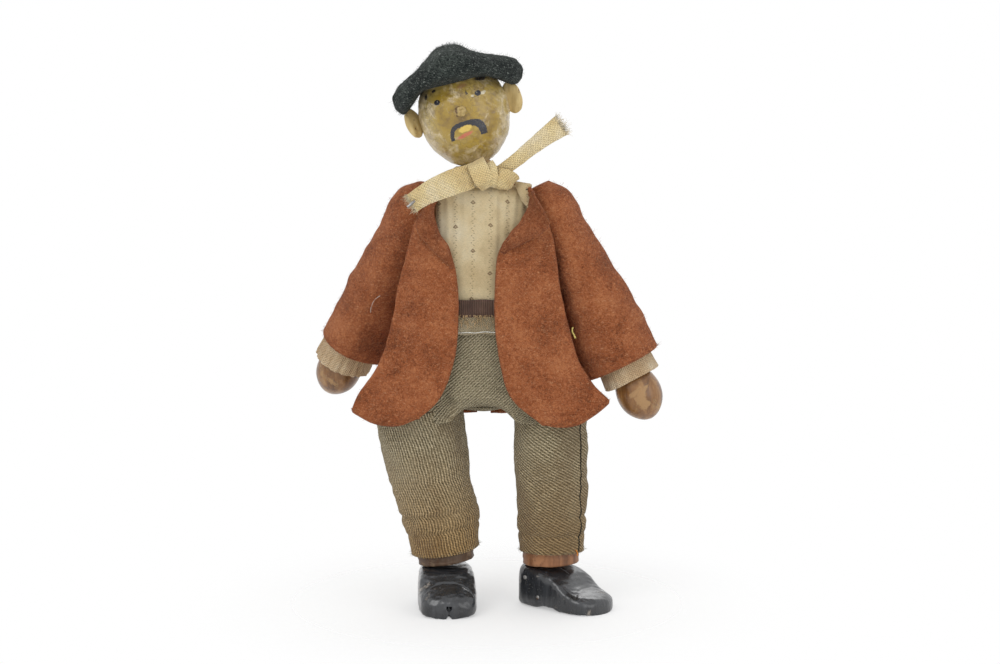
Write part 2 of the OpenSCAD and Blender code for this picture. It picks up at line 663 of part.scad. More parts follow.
// Coat fronts: each is guided by three lines, its open edge, its outer line and its side seam.
// A point holds shares of the coat's half width (across and forward) and of its length (down).
front_rows = 12;
front_cols = 8;
open_edge_shares = [
  [[0.2, 0.255, 0], [0.33, 0.33, 0.06], [0.36, 0.36, 0.15], [0.255, 0.375, 0.27], [0.205, 0.38, 0.4],
    [0.2, 0.385, 0.555], [0.23, 0.4, 0.71], [0.34, 0.43, 0.865], [0.5, 0.455, 0.95]],
  [[0.24, 0.255, 0], [0.33, 0.33, 0.06], [0.29, 0.36, 0.14], [0.135, 0.375, 0.255], [0.102, 0.38, 0.4],
    [0.1, 0.385, 0.555], [0.135, 0.4, 0.71], [0.22, 0.43, 0.865], [0.46, 0.465, 0.975]]];
outer_line_shares = [
  [[0.29, 0.2, 0.01], [0.42, 0.31, 0.06], [0.53, 0.31, 0.15], [0.6, 0.3, 0.26], [0.68, 0.29, 0.4],
    [0.735, 0.29, 0.555], [0.81, 0.3, 0.72], [0.97, 0.29, 0.865], [1, 0.32, 0.94]],
  [[0.31, 0.2, 0.01], [0.43, 0.31, 0.06], [0.51, 0.31, 0.15], [0.57, 0.3, 0.26], [0.61, 0.295, 0.4],
    [0.665, 0.295, 0.555], [0.72, 0.3, 0.72], [0.81, 0.31, 0.865], [0.9, 0.335, 0.955]]];
seam_across_adds = [-1, 2.4, 6.4, 6.4, 4, 5.6, 13, 18, 19.4];
seam_forward_adds = [-6, 1.6, 1.4, 0.4, -5.4, -5.4, -6, -6, -6];
front_bulge = 1.3;
hem_dip = 2.2;
outer_share = 0.75;
function guide(list, k, s) = let (p = curve_at(list[k], s))
  [side_of(k) * p[0] * coat_half_w, -p[1] * coat_half_w, -p[2] * coat_len];
function seam(k, s) =
  [side_of(k) * (torso_w / 2 + curve_at(seam_across_adds, s)), -torso_d / 2 - curve_at(seam_forward_adds, s),
    guide(outer_line_shares, k, s)[2]];
function front_point(k, s, u) =
  let (a = guide(open_edge_shares, k, s), b = guide(outer_line_shares, k, s), c = seam(k, s),
    p = u < outer_share ? mix_of(a, b, u / outer_share) : mix_of(b, c, (u - outer_share) / (1 - outer_share)),
    mid = swell(u / outer_share))
  p + [body_x, body_y - front_bulge * mid, coat_top - hem_dip * mid * pow(s, 6)];
module coat_front(k) {
  color(felt_colour) cloth([for (i = [0:front_rows]) [for (j = [0:front_cols])
    front_point(k, i / front_rows, k == 1 ? 1 - j / front_cols : j / front_cols)]], felt_t);
}
module coat_front_right() { coat_front(0); }
module coat_front_left() { coat_front(1); }

// Lapels: triangles of felt turned back over the fronts' open edges
lapel_rows = 6;
lapel_cols = 5;
lapel_start = 0.07;
lapel_ends = [0.37, 0.34];
lapel_reach = [[0.14, 0.42, 0.62, 0.5, 0.22, 0.03], [0.2, 0.55, 0.78, 0.5, 0.2, 0.03]];
lapel_gap = 0.5;
module lapel(k) {
  rise = [0, -felt_t - lapel_gap, 0];
  color(felt_colour) cloth([for (i = [0:lapel_rows]) let (s = i / lapel_rows)
    [for (j = [0:lapel_cols]) let (v = j / lapel_cols, u = (k == 1 ? 1 - v : v) * curve_at(lapel_reach[k], s))
      front_point(k, mix_of(lapel_start, lapel_ends[k], s), u * outer_share) + rise]], felt_t);
}
module lapel_right() { lapel(0); }
module lapel_left() { lapel(1); }

// Neckerchief of woven tape: a loop round the neck, a knot, a short bow and two loose tails
loop_rows = 3;
loop_cols = 20;
loop_high = 2.2;
loop_low = -2.9;
loop_r_adds = [2.9, 5, 5.8, 5.5];
module neckerchief_loop() {
  color(cotton_colour) at_neck() cloth([for (i = [0:loop_rows]) let (s = i / loop_rows)
    [for (a = rounds(loop_cols)) let (r = neck_d / 2 + curve_at(loop_r_adds, s))
      [r * cos(-a), r * sin(-a), mix_of(loop_high, loop_low, s)]]], 2 * cotton_t, ring = true);
}
knot_rows = 8;
knot_cols = 12;
module knot_form(size, lumps) {
  capped_form([for (i = [1:knot_rows - 1]) let (b = 180 * i / knot_rows)
    [for (j = [0:knot_cols - 1]) let (a = -360 * j / knot_cols, r = 1 + lumps * sin(3 * a + 2 * b))
      [size[0] * r * sin(b) * cos(a), size[1] * r * sin(b) * sin(a), size[2] * cos(b)]]]);
}
knot_size = [4.8, 3.2, 5];
bow_size = [3.6, 2.6, 3.4];
knot_lump_share = 0.07;
bow_lump_share = 0.05;
knot_at = [0.9, -15.9, 1];
bow_at = [8.9, -14.8, -1];
module neckerchief_knot() {
  color(cotton_colour) at_neck() translate(knot_at) knot_form(knot_size, knot_lump_share);
}
module neckerchief_bow() {
  color(cotton_colour) at_neck() translate(bow_at) knot_form(bow_size, bow_lump_share);
}
tape_rows = 9;
tape_cols = 3;
tape_curl = 0.7;
tape_step_share = 0.05;
// Middle line of each tail from the knot to its frayed end, and the share of the tape's width there
tail_lines = [[[-4.6, -16, 0.2], [-10, -18.6, -1.6], [-17, -19.4, -4.6], [-23.5, -18.6, -8.6]],
  [[9.6, -14.4, 3.2], [15, -15.6, 8], [21.5, -15, 13.4], [28.6, -13.6, 18.4]]];
tail_width_shares = [[0.8, 0.95, 1, 1.06], [0.66, 0.72, 0.8, 1.1]];
module neckerchief_tail(k) {
  color(cotton_colour) at_neck() cloth([for (i = [0:tape_rows])
    let (s = i / tape_rows, p = curve_at(tail_lines[k], s),
      q = curve_at(tail_lines[k], s + tape_step_share) - curve_at(tail_lines[k], s - tape_step_share),
      across = unit_of([q[2], 0, -q[0]]),
      wide = tape_w * curve_at(tail_width_shares[k], s))
    [for (j = [0:tape_cols]) let (v = j / tape_cols - 0.5)
      p + across * wide * v - [0, tape_curl * cos(180 * v), 0]]], cotton_t);
}
module neckerchief_tail_right() { neckerchief_tail(0); }
module neckerchief_tail_left() { neckerchief_tail(1); }
tape_pin_d = 0.9;
tape_pin_len = 3.4;
tape_pin_turn = 50;
module neckerchief_pin() {
  color("silver") at_neck() translate(tail_lines[0][3] - [0, tape_curl + cotton_t + tape_pin_d, 0])
    rotate([0, tape_pin_turn, 0]) cylinder(d = tape_pin_d, h = tape_pin_len, center = true);
}

torso();
shirt_body();
shirt_pleat();
belt();
trouser_seat();
trouser_crotch();
coat_back();
coat_tail_right();
coat_tail_left();
coat_front_right();
coat_front_left();
lapel_right();
lapel_left();
neck_cord();
neck_ball();
head();
ear_right();
ear_left();
nose();
beret();
neckerchief_loop();
neckerchief_knot();
neckerchief_bow();
neckerchief_tail_right();
neckerchief_tail_left();
neckerchief_pin();
shoulder_cord_right();
shoulder_cord_left();
shoulder_pin_right();
shoulder_pin_left();
arm_right();
arm_left();
sleeve_right();
sleeve_left();
sleeve_head_right();
sleeve_head_left();
cuff_right();
cuff_left();
hip_cord_right();
hip_cord_left();
hip_pin_right();
hip_pin_left();
leg_right();
leg_left();
trouser_leg_right();
trouser_leg_left();
ankle_cord_right();
ankle_cord_left();
shoe_right();
shoe_left();
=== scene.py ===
import math

import bpy
import numpy as np
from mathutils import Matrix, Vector


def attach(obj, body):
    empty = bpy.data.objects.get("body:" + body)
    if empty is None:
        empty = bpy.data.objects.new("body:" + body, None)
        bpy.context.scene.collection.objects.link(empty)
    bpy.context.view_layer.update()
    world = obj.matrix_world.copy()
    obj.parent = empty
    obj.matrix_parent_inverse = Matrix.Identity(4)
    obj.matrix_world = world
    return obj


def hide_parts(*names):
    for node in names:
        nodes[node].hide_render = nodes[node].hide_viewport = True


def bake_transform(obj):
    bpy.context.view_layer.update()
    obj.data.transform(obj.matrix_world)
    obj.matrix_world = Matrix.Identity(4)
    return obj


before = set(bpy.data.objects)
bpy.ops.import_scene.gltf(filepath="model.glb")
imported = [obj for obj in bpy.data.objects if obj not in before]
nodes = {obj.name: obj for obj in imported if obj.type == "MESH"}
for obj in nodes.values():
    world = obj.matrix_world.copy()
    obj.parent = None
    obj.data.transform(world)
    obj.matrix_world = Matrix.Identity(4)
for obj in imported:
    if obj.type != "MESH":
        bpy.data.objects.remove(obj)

print("stage: frame loaded")
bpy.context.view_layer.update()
mm = 0.001  # every size below is in millimetres and is turned into metres here

# Joint places and sizes that the cloth follows, in millimetres
body = dict(x=-1.2, y=-5.4, torsoWide=34.0, torsoDeep=24.0, coatTop=150.5, coatLength=84.0, coatHalf=45.0)
shoulder = dict(z=142.0, span=47.0, out=(24.0, -26.0), back=(24.0, 0.0))
hip = dict(z=78.0, span=44.0, out=(-8.0, -2.0), reach=60.3)
neck = dict(x=-2.4, z=154.0, lean=14.0)
feet = dict(turn=(4.0, 48.0))
sides = ("right", "left")


# Camera, at the photograph's angle
cameraSetup = dict(distance=900.0, elevation=7.0, aim=(4.7, -5.4, 98.4), lens=91.3)


def makeCamera(setup):
    data = bpy.data.cameras.new("camera")
    data.lens = setup["lens"]
    camera = bpy.data.objects.new("camera", data)
    bpy.context.collection.objects.link(camera)
    tilt = math.radians(setup["elevation"])
    aim = Vector(setup["aim"]) * mm
    camera.location = aim + Vector((0, -math.cos(tilt), math.sin(tilt))) * setup["distance"] * mm
    camera.rotation_euler = (math.radians(90) - tilt, 0, 0)
    bpy.context.scene.camera = camera


# Soft box lights, each with its place, size and power, and white surroundings
light = dict(world=0.72, lamps=dict(
    keyLight=((-420, -620, 760), (520, 520), 2.7),
    fillLight=((620, -560, 300), (600, 600), 1.3),
    rimLight=((80, 620, 620), (500, 300), 1.0)))


def makeStudio(setup):
    for name, (place, size, power) in setup["lamps"].items():
        data = bpy.data.lights.new(name, "AREA")
        data.shape = "RECTANGLE"
        data.size, data.size_y = size[0] * mm, size[1] * mm
        data.energy = power
        lamp = bpy.data.objects.new(name, data)
        bpy.context.collection.objects.link(lamp)
        lamp.location = Vector(place) * mm
        toDoll = Vector(cameraSetup["aim"]) * mm - lamp.location
        lamp.rotation_euler = toDoll.to_track_quat("-Z", "Y").to_euler()
    world = bpy.data.worlds.new("surroundings")
    bpy.context.scene.world = world
    world.use_nodes = True
    tree = world.node_tree
    tree.nodes.clear()
    # the camera, reflections and clear surfaces see full white; the rest is lit by a softer one
    path = tree.nodes.new("ShaderNodeLightPath")
    seen = path.outputs["Is Camera Ray"]
    for ray in ("Is Glossy Ray", "Is Transmission Ray"):
        either = tree.nodes.new("ShaderNodeMath")
        either.operation = "MAXIMUM"
        tree.links.new(seen, either.inputs[0])
        tree.links.new(path.outputs[ray], either.inputs[1])
        seen = either.outputs[0]
    mix = tree.nodes.new("ShaderNodeMixShader")
    tree.links.new(seen, mix.inputs[0])
    for socket, strength in ((1, setup["world"]), (2, 1.0)):
        white = tree.nodes.new("ShaderNodeBackground")
        white.inputs["Color"].default_value = (1, 1, 1, 1)
        white.inputs["Strength"].default_value = strength
        tree.links.new(white.outputs[0], mix.inputs[socket])
    out = tree.nodes.new("ShaderNodeOutputWorld")
    tree.links.new(mix.outputs[0], out.inputs[0])
    bpy.context.scene.view_settings.view_transform = "Standard"


# Node materials. A value may be a number, a colour or the output of another node.
def plug(tree, socket, value):
    if isinstance(value, Value):
        tree.links.new(value.socket, socket)
    elif socket.type == "RGBA":
        socket.default_value = (*value[:3], 1)
    else:
        socket.default_value = value


# A node's output. Sums, products and comparisons of outputs add the nodes that work them out.
class Value:

    def __init__(self, paint, socket):
        self.paint = paint
        self.socket = socket

    def __add__(self, other):
        return self.paint.math("ADD", self, other)

    def __sub__(self, other):
        return self.paint.math("SUBTRACT", self, other)

    def __mul__(self, other):
        return self.paint.math("MULTIPLY", self, other)

    def __truediv__(self, other):
        return self.paint.math("DIVIDE", self, other)

    def __pow__(self, other):
        return self.paint.math("POWER", self, other)

    def __abs__(self):
        return self.paint.math("ABSOLUTE", self)

    def __lt__(self, other):
        return self.paint.math("LESS_THAN", self, other)

    def __gt__(self, other):
        return self.paint.math("GREATER_THAN", self, other)


# Noise patterns: scale, detail, roughness and distortion. A scale is per metre, or per millimetre of flat cloth and
# of the face. Each wood's look gives the scale of its patches.
patterns = dict(
    floor=(6, 2, 0.6, 0), feltClouds=(70, 4, 0.6, 0.4), feltSwirls=(1150, 5, 0.75, 1.2),
    feltFibres=(1050, 3, 0.75, 1.2), twillWander=(0.35, 3, 0.6, 0), twillSlubs=(1, 5, 0.8, 0),
    twillWear=(55, 3, 0.6, 0), twillStains=(48, 4, 0.62, 0), wovenSlubs=(1.6, 4, 0.7, 0), wovenStains=(70, 4, 0.6, 0),
    woodGrain=(1, 5, 0.7, 0.6), woodPatches=(None, 5, 0.66, 0.8), woodNicks=(520, 4, 0.75, 1.5),
    faceDirt=(420, 5, 0.7, 0), faceIslands=(230, 6, 0.7, 0.8), faceClouds=(95, 4, 0.62, 0),
    shakeAcross=(1.1, 4, 0.7, 0), shakeUp=(1.3, 4, 0.7, 0), archChips=(3.2, 4, 0.75, 0), markWear=(1.9, 5, 0.75, 0),
    inkTone=(2.6, 4, 0.7, 0), fibreTone=(900, 2, 0.6, 0))


# One material's tree, with a call for each kind of node
class Paint:

    def __init__(self, name):
        self.material = bpy.data.materials.new(name)
        self.material.use_nodes = True
        self.tree = self.material.node_tree
        self.shader = self.tree.nodes["Principled BSDF"]
        coords = self.tree.nodes.new("ShaderNodeTexCoord")
        self.place = Value(self, coords.outputs["Object"])
        self.flat = Value(self, coords.outputs["UV"])

    def add(self, kind, values=(), out=0, **settings):
        node = self.tree.nodes.new("ShaderNode" + kind)
        for key, value in settings.items():
            setattr(node, key, value)
        for key, value in dict(values).items():
            plug(self.tree, node.inputs[key], value)
        return Value(self, node.outputs[out])

    def math(self, operation, a, b=0.0):
        return self.add("Math", {0: a, 1: b}, operation=operation)

    def wave(self, value, length):
        return self.math("SINE", value * (2 * math.pi / length))

    def most(self, a, b):
        return self.math("MAXIMUM", a, b)

    def firstTwo(self, vector):
        parts = self.add("SeparateXYZ", {0: vector}).socket.node.outputs
        return Value(self, parts[0]), Value(self, parts[1])

    def scaled(self, vector, scale, turn=(0, 0, 0)):
        return self.add("Mapping", {"Vector": vector, "Scale": scale, "Rotation": turn})

    def noise(self, vector, pattern, scale=None):
        usual, detail, rough, warp = patterns[pattern]
        return self.add("TexNoise", {"Vector": vector, "Scale": scale or usual, "Detail": detail,
                                     "Roughness": rough, "Distortion": warp})

    def ramp(self, value, stops):
        node = self.tree.nodes.new("ShaderNodeValToRGB")
        plug(self.tree, node.inputs[0], value)
        points = node.color_ramp.elements
        while len(points) < len(stops):
            points.new(0.5)
        for point, (at, colour) in zip(points, stops):
            point.position = at
            point.color = (*colour[:3], 1) if hasattr(colour, "__len__") else (colour, colour, colour, 1)
        return Value(self, node.outputs[0])

    def rise(self, value, start, end, low=0.0, high=1.0):
        return self.ramp(value, [(start, low), (end, high)])

    def tones(self, value, look, places):
        return self.ramp(value, list(zip(places, (look["dark"], look["main"], look["light"]))))

    def mix(self, factor, a, b, blend="MIX"):
        node = self.tree.nodes.new("ShaderNodeMix")
        node.data_type = "RGBA"
        node.blend_type = blend
        for socket, value in ((0, factor), (6, a), (7, b)):
            plug(self.tree, node.inputs[socket], value)
        return Value(self, node.outputs[2])

    def bump(self, height, depth):
        return self.add("Bump", {"Height": height, "Distance": depth * mm, "Strength": 1.0})

    def finish(self, colour, rough, normal=None, numbers=()):
        plug(self.tree, self.shader.inputs["Base Color"], colour)
        plug(self.tree, self.shader.inputs["Roughness"], rough)
        if normal is not None:
            plug(self.tree, self.shader.inputs["Normal"], normal)
        for key, value in dict(numbers).items():
            self.shader.inputs[key].default_value = value
        return self.material


# Floor: matt and nearly white, it clears to the white surroundings away from the doll's feet
stageLook = dict(tone=(0.97, 0.97, 0.965), rough=0.9, near=0.01, far=0.12, thin=0.4, half=1.5)


def floorMaterial(look):
    paint = Paint("floorPaint")
    tone = paint.ramp(paint.noise(paint.place, "floor"), [(0.3, [0.99 * c for c in look["tone"]]), (0.7, look["tone"])])
    material = paint.finish(tone, look["rough"], numbers={"Specular IOR Level": 0.2})
    away = paint.add("VectorMath", {0: paint.place}, out=1, operation="LENGTH")
    clear = paint.add("MapRange", {"Value": away, "From Min": look["near"], "From Max": look["far"],
                                   "To Min": look["thin"]}, interpolation_type="SMOOTHSTEP")
    share = clear * paint.add("LightPath", out=0)
    tree = paint.tree
    empty = tree.nodes.new("ShaderNodeBsdfTransparent")
    mix = tree.nodes.new("ShaderNodeMixShader")
    for socket, source in enumerate((share.socket, paint.shader.outputs[0], empty.outputs[0])):
        tree.links.new(source, mix.inputs[socket])
    tree.links.new(mix.outputs[0], tree.nodes["Material Output"].inputs["Surface"])
    return material


def makeFloor(look):
    half = look["half"]
    ground = bpy.data.meshes.new("ground")
    ground.from_pydata([(-half, -half, 0), (half, -half, 0), (half, half, 0), (-half, half, 0)], [], [(0, 1, 2, 3)])
    ground.materials.append(floorMaterial(look))
    floor = bpy.data.objects.new("floor", ground)
    bpy.context.collection.objects.link(floor)


# Matted fibres: cloudy tone, short swirls and pinpoint lint
def feltMaterial(name, look):
    paint = Paint(name)
    clouds = paint.noise(paint.place, "feltClouds")
    swirls = paint.noise(paint.place, "feltSwirls")
    fibres = paint.noise(paint.scaled(paint.place, (1, 1, 2.2), (0.4, 0.6, 0.2)), "feltFibres")
    colour = paint.tones(clouds * 0.36 + swirls * 0.64, look, (0.39, 0.5, 0.6))
    colour = paint.mix(paint.rise(fibres, 0.56, 0.68) * look["lint"], colour, look["lintColour"])
    return paint.finish(colour, 0.95, paint.bump(swirls + fibres * 0.6, look["nap"]),
                        {"Sheen Weight": look["sheen"], "Sheen Roughness": 0.5, "Specular IOR Level": 0.15})


# Diagonal ribs in the cloth's own flat millimetres, with slubs, worn places, stains and a browner lower end
def twillMaterial(name, look):
    paint = Paint(name)
    across, along = paint.firstTwo(paint.flat)
    wander = paint.noise(paint.flat, "twillWander") * 0.9
    rib = paint.wave(across + along * look["slope"] + wander, look["pitch"])
    weft = paint.wave(along, look["weft"])
    slubs = paint.noise(paint.scaled(paint.flat, (2.4, 0.8, 1)), "twillSlubs")
    colour = paint.tones(rib * look["ribs"] + weft * 0.08 + slubs, look, (0.29, 0.5, 0.74))
    wear = paint.rise(paint.noise(paint.place, "twillWear"), 0.5, 0.75)
    colour = paint.mix(wear * 0.4, colour, look["worn"])
    stains = paint.noise(paint.scaled(paint.place, (1, 1, 0.7), (0.3, 0.2, 0)), "twillStains")
    colour = paint.mix(paint.rise(stains, 0.48, 0.62) * 0.45, colour, look["stain"])
    lower = paint.rise(along / look["long"] + wander * 0.25, 0.3, 0.95, 0.0, look["fade"])
    colour = paint.mix(lower, colour, look["low"], "MULTIPLY")
    return paint.finish(colour, 0.92, paint.bump(rib + (weft * 0.35 + slubs), 0.22),
                        {"Sheen Weight": 0.08, "Specular IOR Level": 0.2})


# Plain weave in flat millimetres, with small printed diamonds and dotted zigzags where the look asks
def wovenMaterial(name, look):
    paint = Paint(name)
    across, along = paint.firstTwo(paint.flat)
    weave = paint.wave(across, look["pitch"])
    if not look.get("ribbed"):
        weave = weave * paint.wave(along, look["pitch"])
    slubs = paint.noise(paint.scaled(paint.flat, (0.7, 2.2, 1)), "wovenSlubs")
    colour = paint.tones(paint.noise(paint.place, "wovenStains"), look, (0.3, 0.55, 0.75))
    threads = paint.rise(weave * look.get("dots", 0.22) + slubs, 0.2, 0.62, 0.66, 1.0)
    colour = paint.mix(1.0, colour, threads, "MULTIPLY")
    if "print" in look:
        wide, tall = look["print"]
        column = (across - look["start"][0]) / wide + 10.5
        row = (along - look["start"][1]) / tall + paint.math("FLOOR", column) * 0.5
        fromMiddle = (paint.math("FRACT", column) - 0.5) * wide
        fromRow = (paint.math("FRACT", row) - 0.5) * tall
        away = abs(fromMiddle) / look["diamond"][0] + abs(fromRow) / look["diamond"][1]
        diamond = paint.ramp(away, [(0.25, 0.45), (0.4, 1.0), (0.85, 1.0), (1.0, 0.0)])
        line = abs(fromMiddle - (paint.math("PINGPONG", along, 1.2) - 0.6) * 1.1)
        dots = (line < 0.24) * (paint.math("SINE", along * 7.5) > 0.1) * (away > 1.6)
        ink = paint.most(diamond, dots * 0.65) * paint.rise(slubs, 0.35, 0.6, 0.35, 0.95)
        colour = paint.mix(ink, colour, look["ink"])
    return paint.finish(colour, 0.9, paint.bump(weave + slubs, look["depth"]),
                        {"Sheen Weight": 0.15, "Specular IOR Level": 0.2})


# Wood under worn varnish: rings along the turned axis, rubbed patches and nicks
def varnishMaterial(name, look):
    paint = Paint(name)
    grain = paint.noise(paint.scaled(paint.place, (260, 260, 34)), "woodGrain")
    patches = paint.noise(paint.place, "woodPatches", look["patch"])
    nicks = paint.noise(paint.place, "woodNicks")
    worn = paint.most(paint.rise(patches, look["wear"], look["wear"] + 0.05),
                      paint.rise(nicks, 0.66, 0.7) * look["chips"])
    colour = paint.mix(worn, paint.tones(grain, look, (0.3, 0.55, 0.75)), look["bare"])
    return paint.finish(colour, worn * 0.35 + look["rough"], paint.bump(grain * 0.3 - worn, look["depth"]),
                        {"Coat Weight": look["coat"], "Coat Roughness": 0.2, "Specular IOR Level": 0.45,
                         "Metallic": look.get("metal", 0.0)})


# Marks painted on the face, in millimetres seen from the front: place, half sizes and slant in degrees
faceMarks = dict(
    eyes=((-8.0, 28.7, 1.15, 1.0, 0), (6.5, 28.5, 1.15, 1.0, 0)),
    whites=((8.3, 28.3, 1.3, 0.6, 14), (4.5, 28.1, 0.7, 0.4, 0)),
    # the eyes' glints are painted highlights: a small white spot on each dark eye
    eyeGlints=((-7.75, 28.95, 0.3, 0.3, 0), (6.2, 28.85, 0.3, 0.3, 0)),
    brows=((8.5, 33.2, 2.3, 0.9, -8), (-11.4, 31.3, 0.5, 1.2, -18), (-8.3, 32.7, 0.8, 0.5, 20),
           (2.7, 29.6, 0.35, 0.8, 10)),
    scar=((1.6, 32.2, 2.2, 1.0, 6),), mouth=((-1.3, 15.5, 3.5, 0.75, 14),), chip=((-0.6, 17.7, 2.7, 1.2, 8),),
    moustache=(-0.2, 13.8, 5.55, 0.92, 3.4))  # middle, radius, half width and power


# Old gloss paint on the head: mottled ochre, paler and rubbed away from the face's middle, finely crackled
def facePaintMaterial(name, look):
    paint = Paint(name)
    dirt = paint.noise(paint.place, "faceDirt")
    islands = paint.noise(paint.place, "faceIslands")
    clouds = paint.noise(paint.place, "faceClouds")
    x, z = paint.firstTwo(paint.flat)
    u = x + (paint.noise(paint.flat, "shakeAcross") - 0.5) * 0.9
    v = z + (paint.noise(paint.scaled(paint.flat, (1, 1, 1), (0, 0, 1)), "shakeUp") - 0.5) * 0.9

    # a slanted oval's mask, soft at its edge
    def spot(at, soft):
        c, d = math.cos(math.radians(at[4])), math.sin(math.radians(at[4]))
        du, dv = u - at[0], v - at[1]
        along, over = (du * c + dv * d) / at[2], (dv * c - du * d) / at[3]
        return paint.rise(along ** 2.0 + over ** 2.0, 1 - soft, 1.0, 1.0, 0.0)

    def spots(kind, soft):
        first, *others = faceMarks[kind]
        mask = spot(first, soft)
        for at in others:
            mask = paint.most(mask, spot(at, soft))
        return mask

    # the ochre is strongest round the nose and mouth and thins towards the cheeks, chin and temples
    centre = paint.math("MINIMUM", ((x - 0.5) / 13.0) ** 2.0 + ((z - 22.0) / 13.5) ** 2.0, 1.4)
    colour = paint.tones(centre * 0.2 + clouds * 0.75, look, (0.26, 0.42, 0.68))
    rubbed = paint.rise(islands + centre * 0.15, 0.62, 0.76)
    colour = paint.mix(rubbed * 0.68, colour, look["bare"])
    colour = paint.mix(paint.rise(dirt, 0.36, 0.5, 1.0, 0.0) * 0.5, colour, look["rim"])
    cells = paint.add("TexVoronoi", {"Vector": paint.place, "Scale": 520.0}, feature="DISTANCE_TO_EDGE")
    cracks = paint.rise(cells, 0.0, 0.05, 1.0, 0.0) * paint.rise(clouds, 0.45, 0.6)
    colour = paint.mix(cracks * 0.35, colour, look["crack"])

    # the moustache is a squarish arch, where (|du|^power + |dv|^power)^(1 / power) is within its half width of its
    # radius
    middleX, middleZ, radius, half, power = faceMarks["moustache"]
    du, dv = u - middleX, v - middleZ
    ring = abs((abs(du) ** power + abs(dv) ** power) ** (1 / power) - radius)
    arch = (ring < du * 0.055 + half) * (dv > 0.6) * (v > 0.0)
    arch = arch * (spots("chip", 0.3) * -1.0 + 1.0)
    arch = arch * paint.rise(paint.noise(paint.flat, "archChips"), 0.36, 0.42, 0.1, 1.0)
    worn = paint.rise(paint.noise(paint.flat, "markWear"), 0.36, 0.5, 0.25, 1.0)
    dark = paint.most(paint.most(arch, spots("brows", 0.4) * worn), spots("eyes", 0.3))
    colour = paint.mix(spots("scar", 0.7) * 0.6, colour, look["scar"])
    colour = paint.mix(spots("whites", 0.5) * 0.85, colour, look["white"])
    colour = paint.mix(spots("chip", 0.4) * 0.9, colour, look["chip"])
    colour = paint.mix(spots("mouth", 0.6) * worn, colour, look["red"])
    ink = paint.rise(paint.noise(paint.flat, "inkTone"), 0.4, 0.66, look["navy"], look["navyLight"])
    colour = paint.mix(dark, colour, ink)
    # painted highlight: a small pale glint on each eye
    colour = paint.mix(spots("eyeGlints", 0.8) * 0.35, colour, look["white"])
    height = dirt * 0.6 + dark * 0.5 - (rubbed * 0.5 + cracks * 0.5)
    return paint.finish(colour, rubbed * 0.25 + 0.3, paint.bump(height, 0.2),
                        {"Coat Weight": 0.6, "Coat Roughness": 0.14})


# Plain fibres and threads: one colour, shaded a little along each
def fibreMaterial(name, colour):
    paint = Paint(name)
    tone = paint.rise(paint.noise(paint.place, "fibreTone"), 0.35, 0.65, [channel * 0.55 for channel in colour], colour)
    return paint.finish(tone, 0.9, numbers={"Specular IOR Level": 0.2})


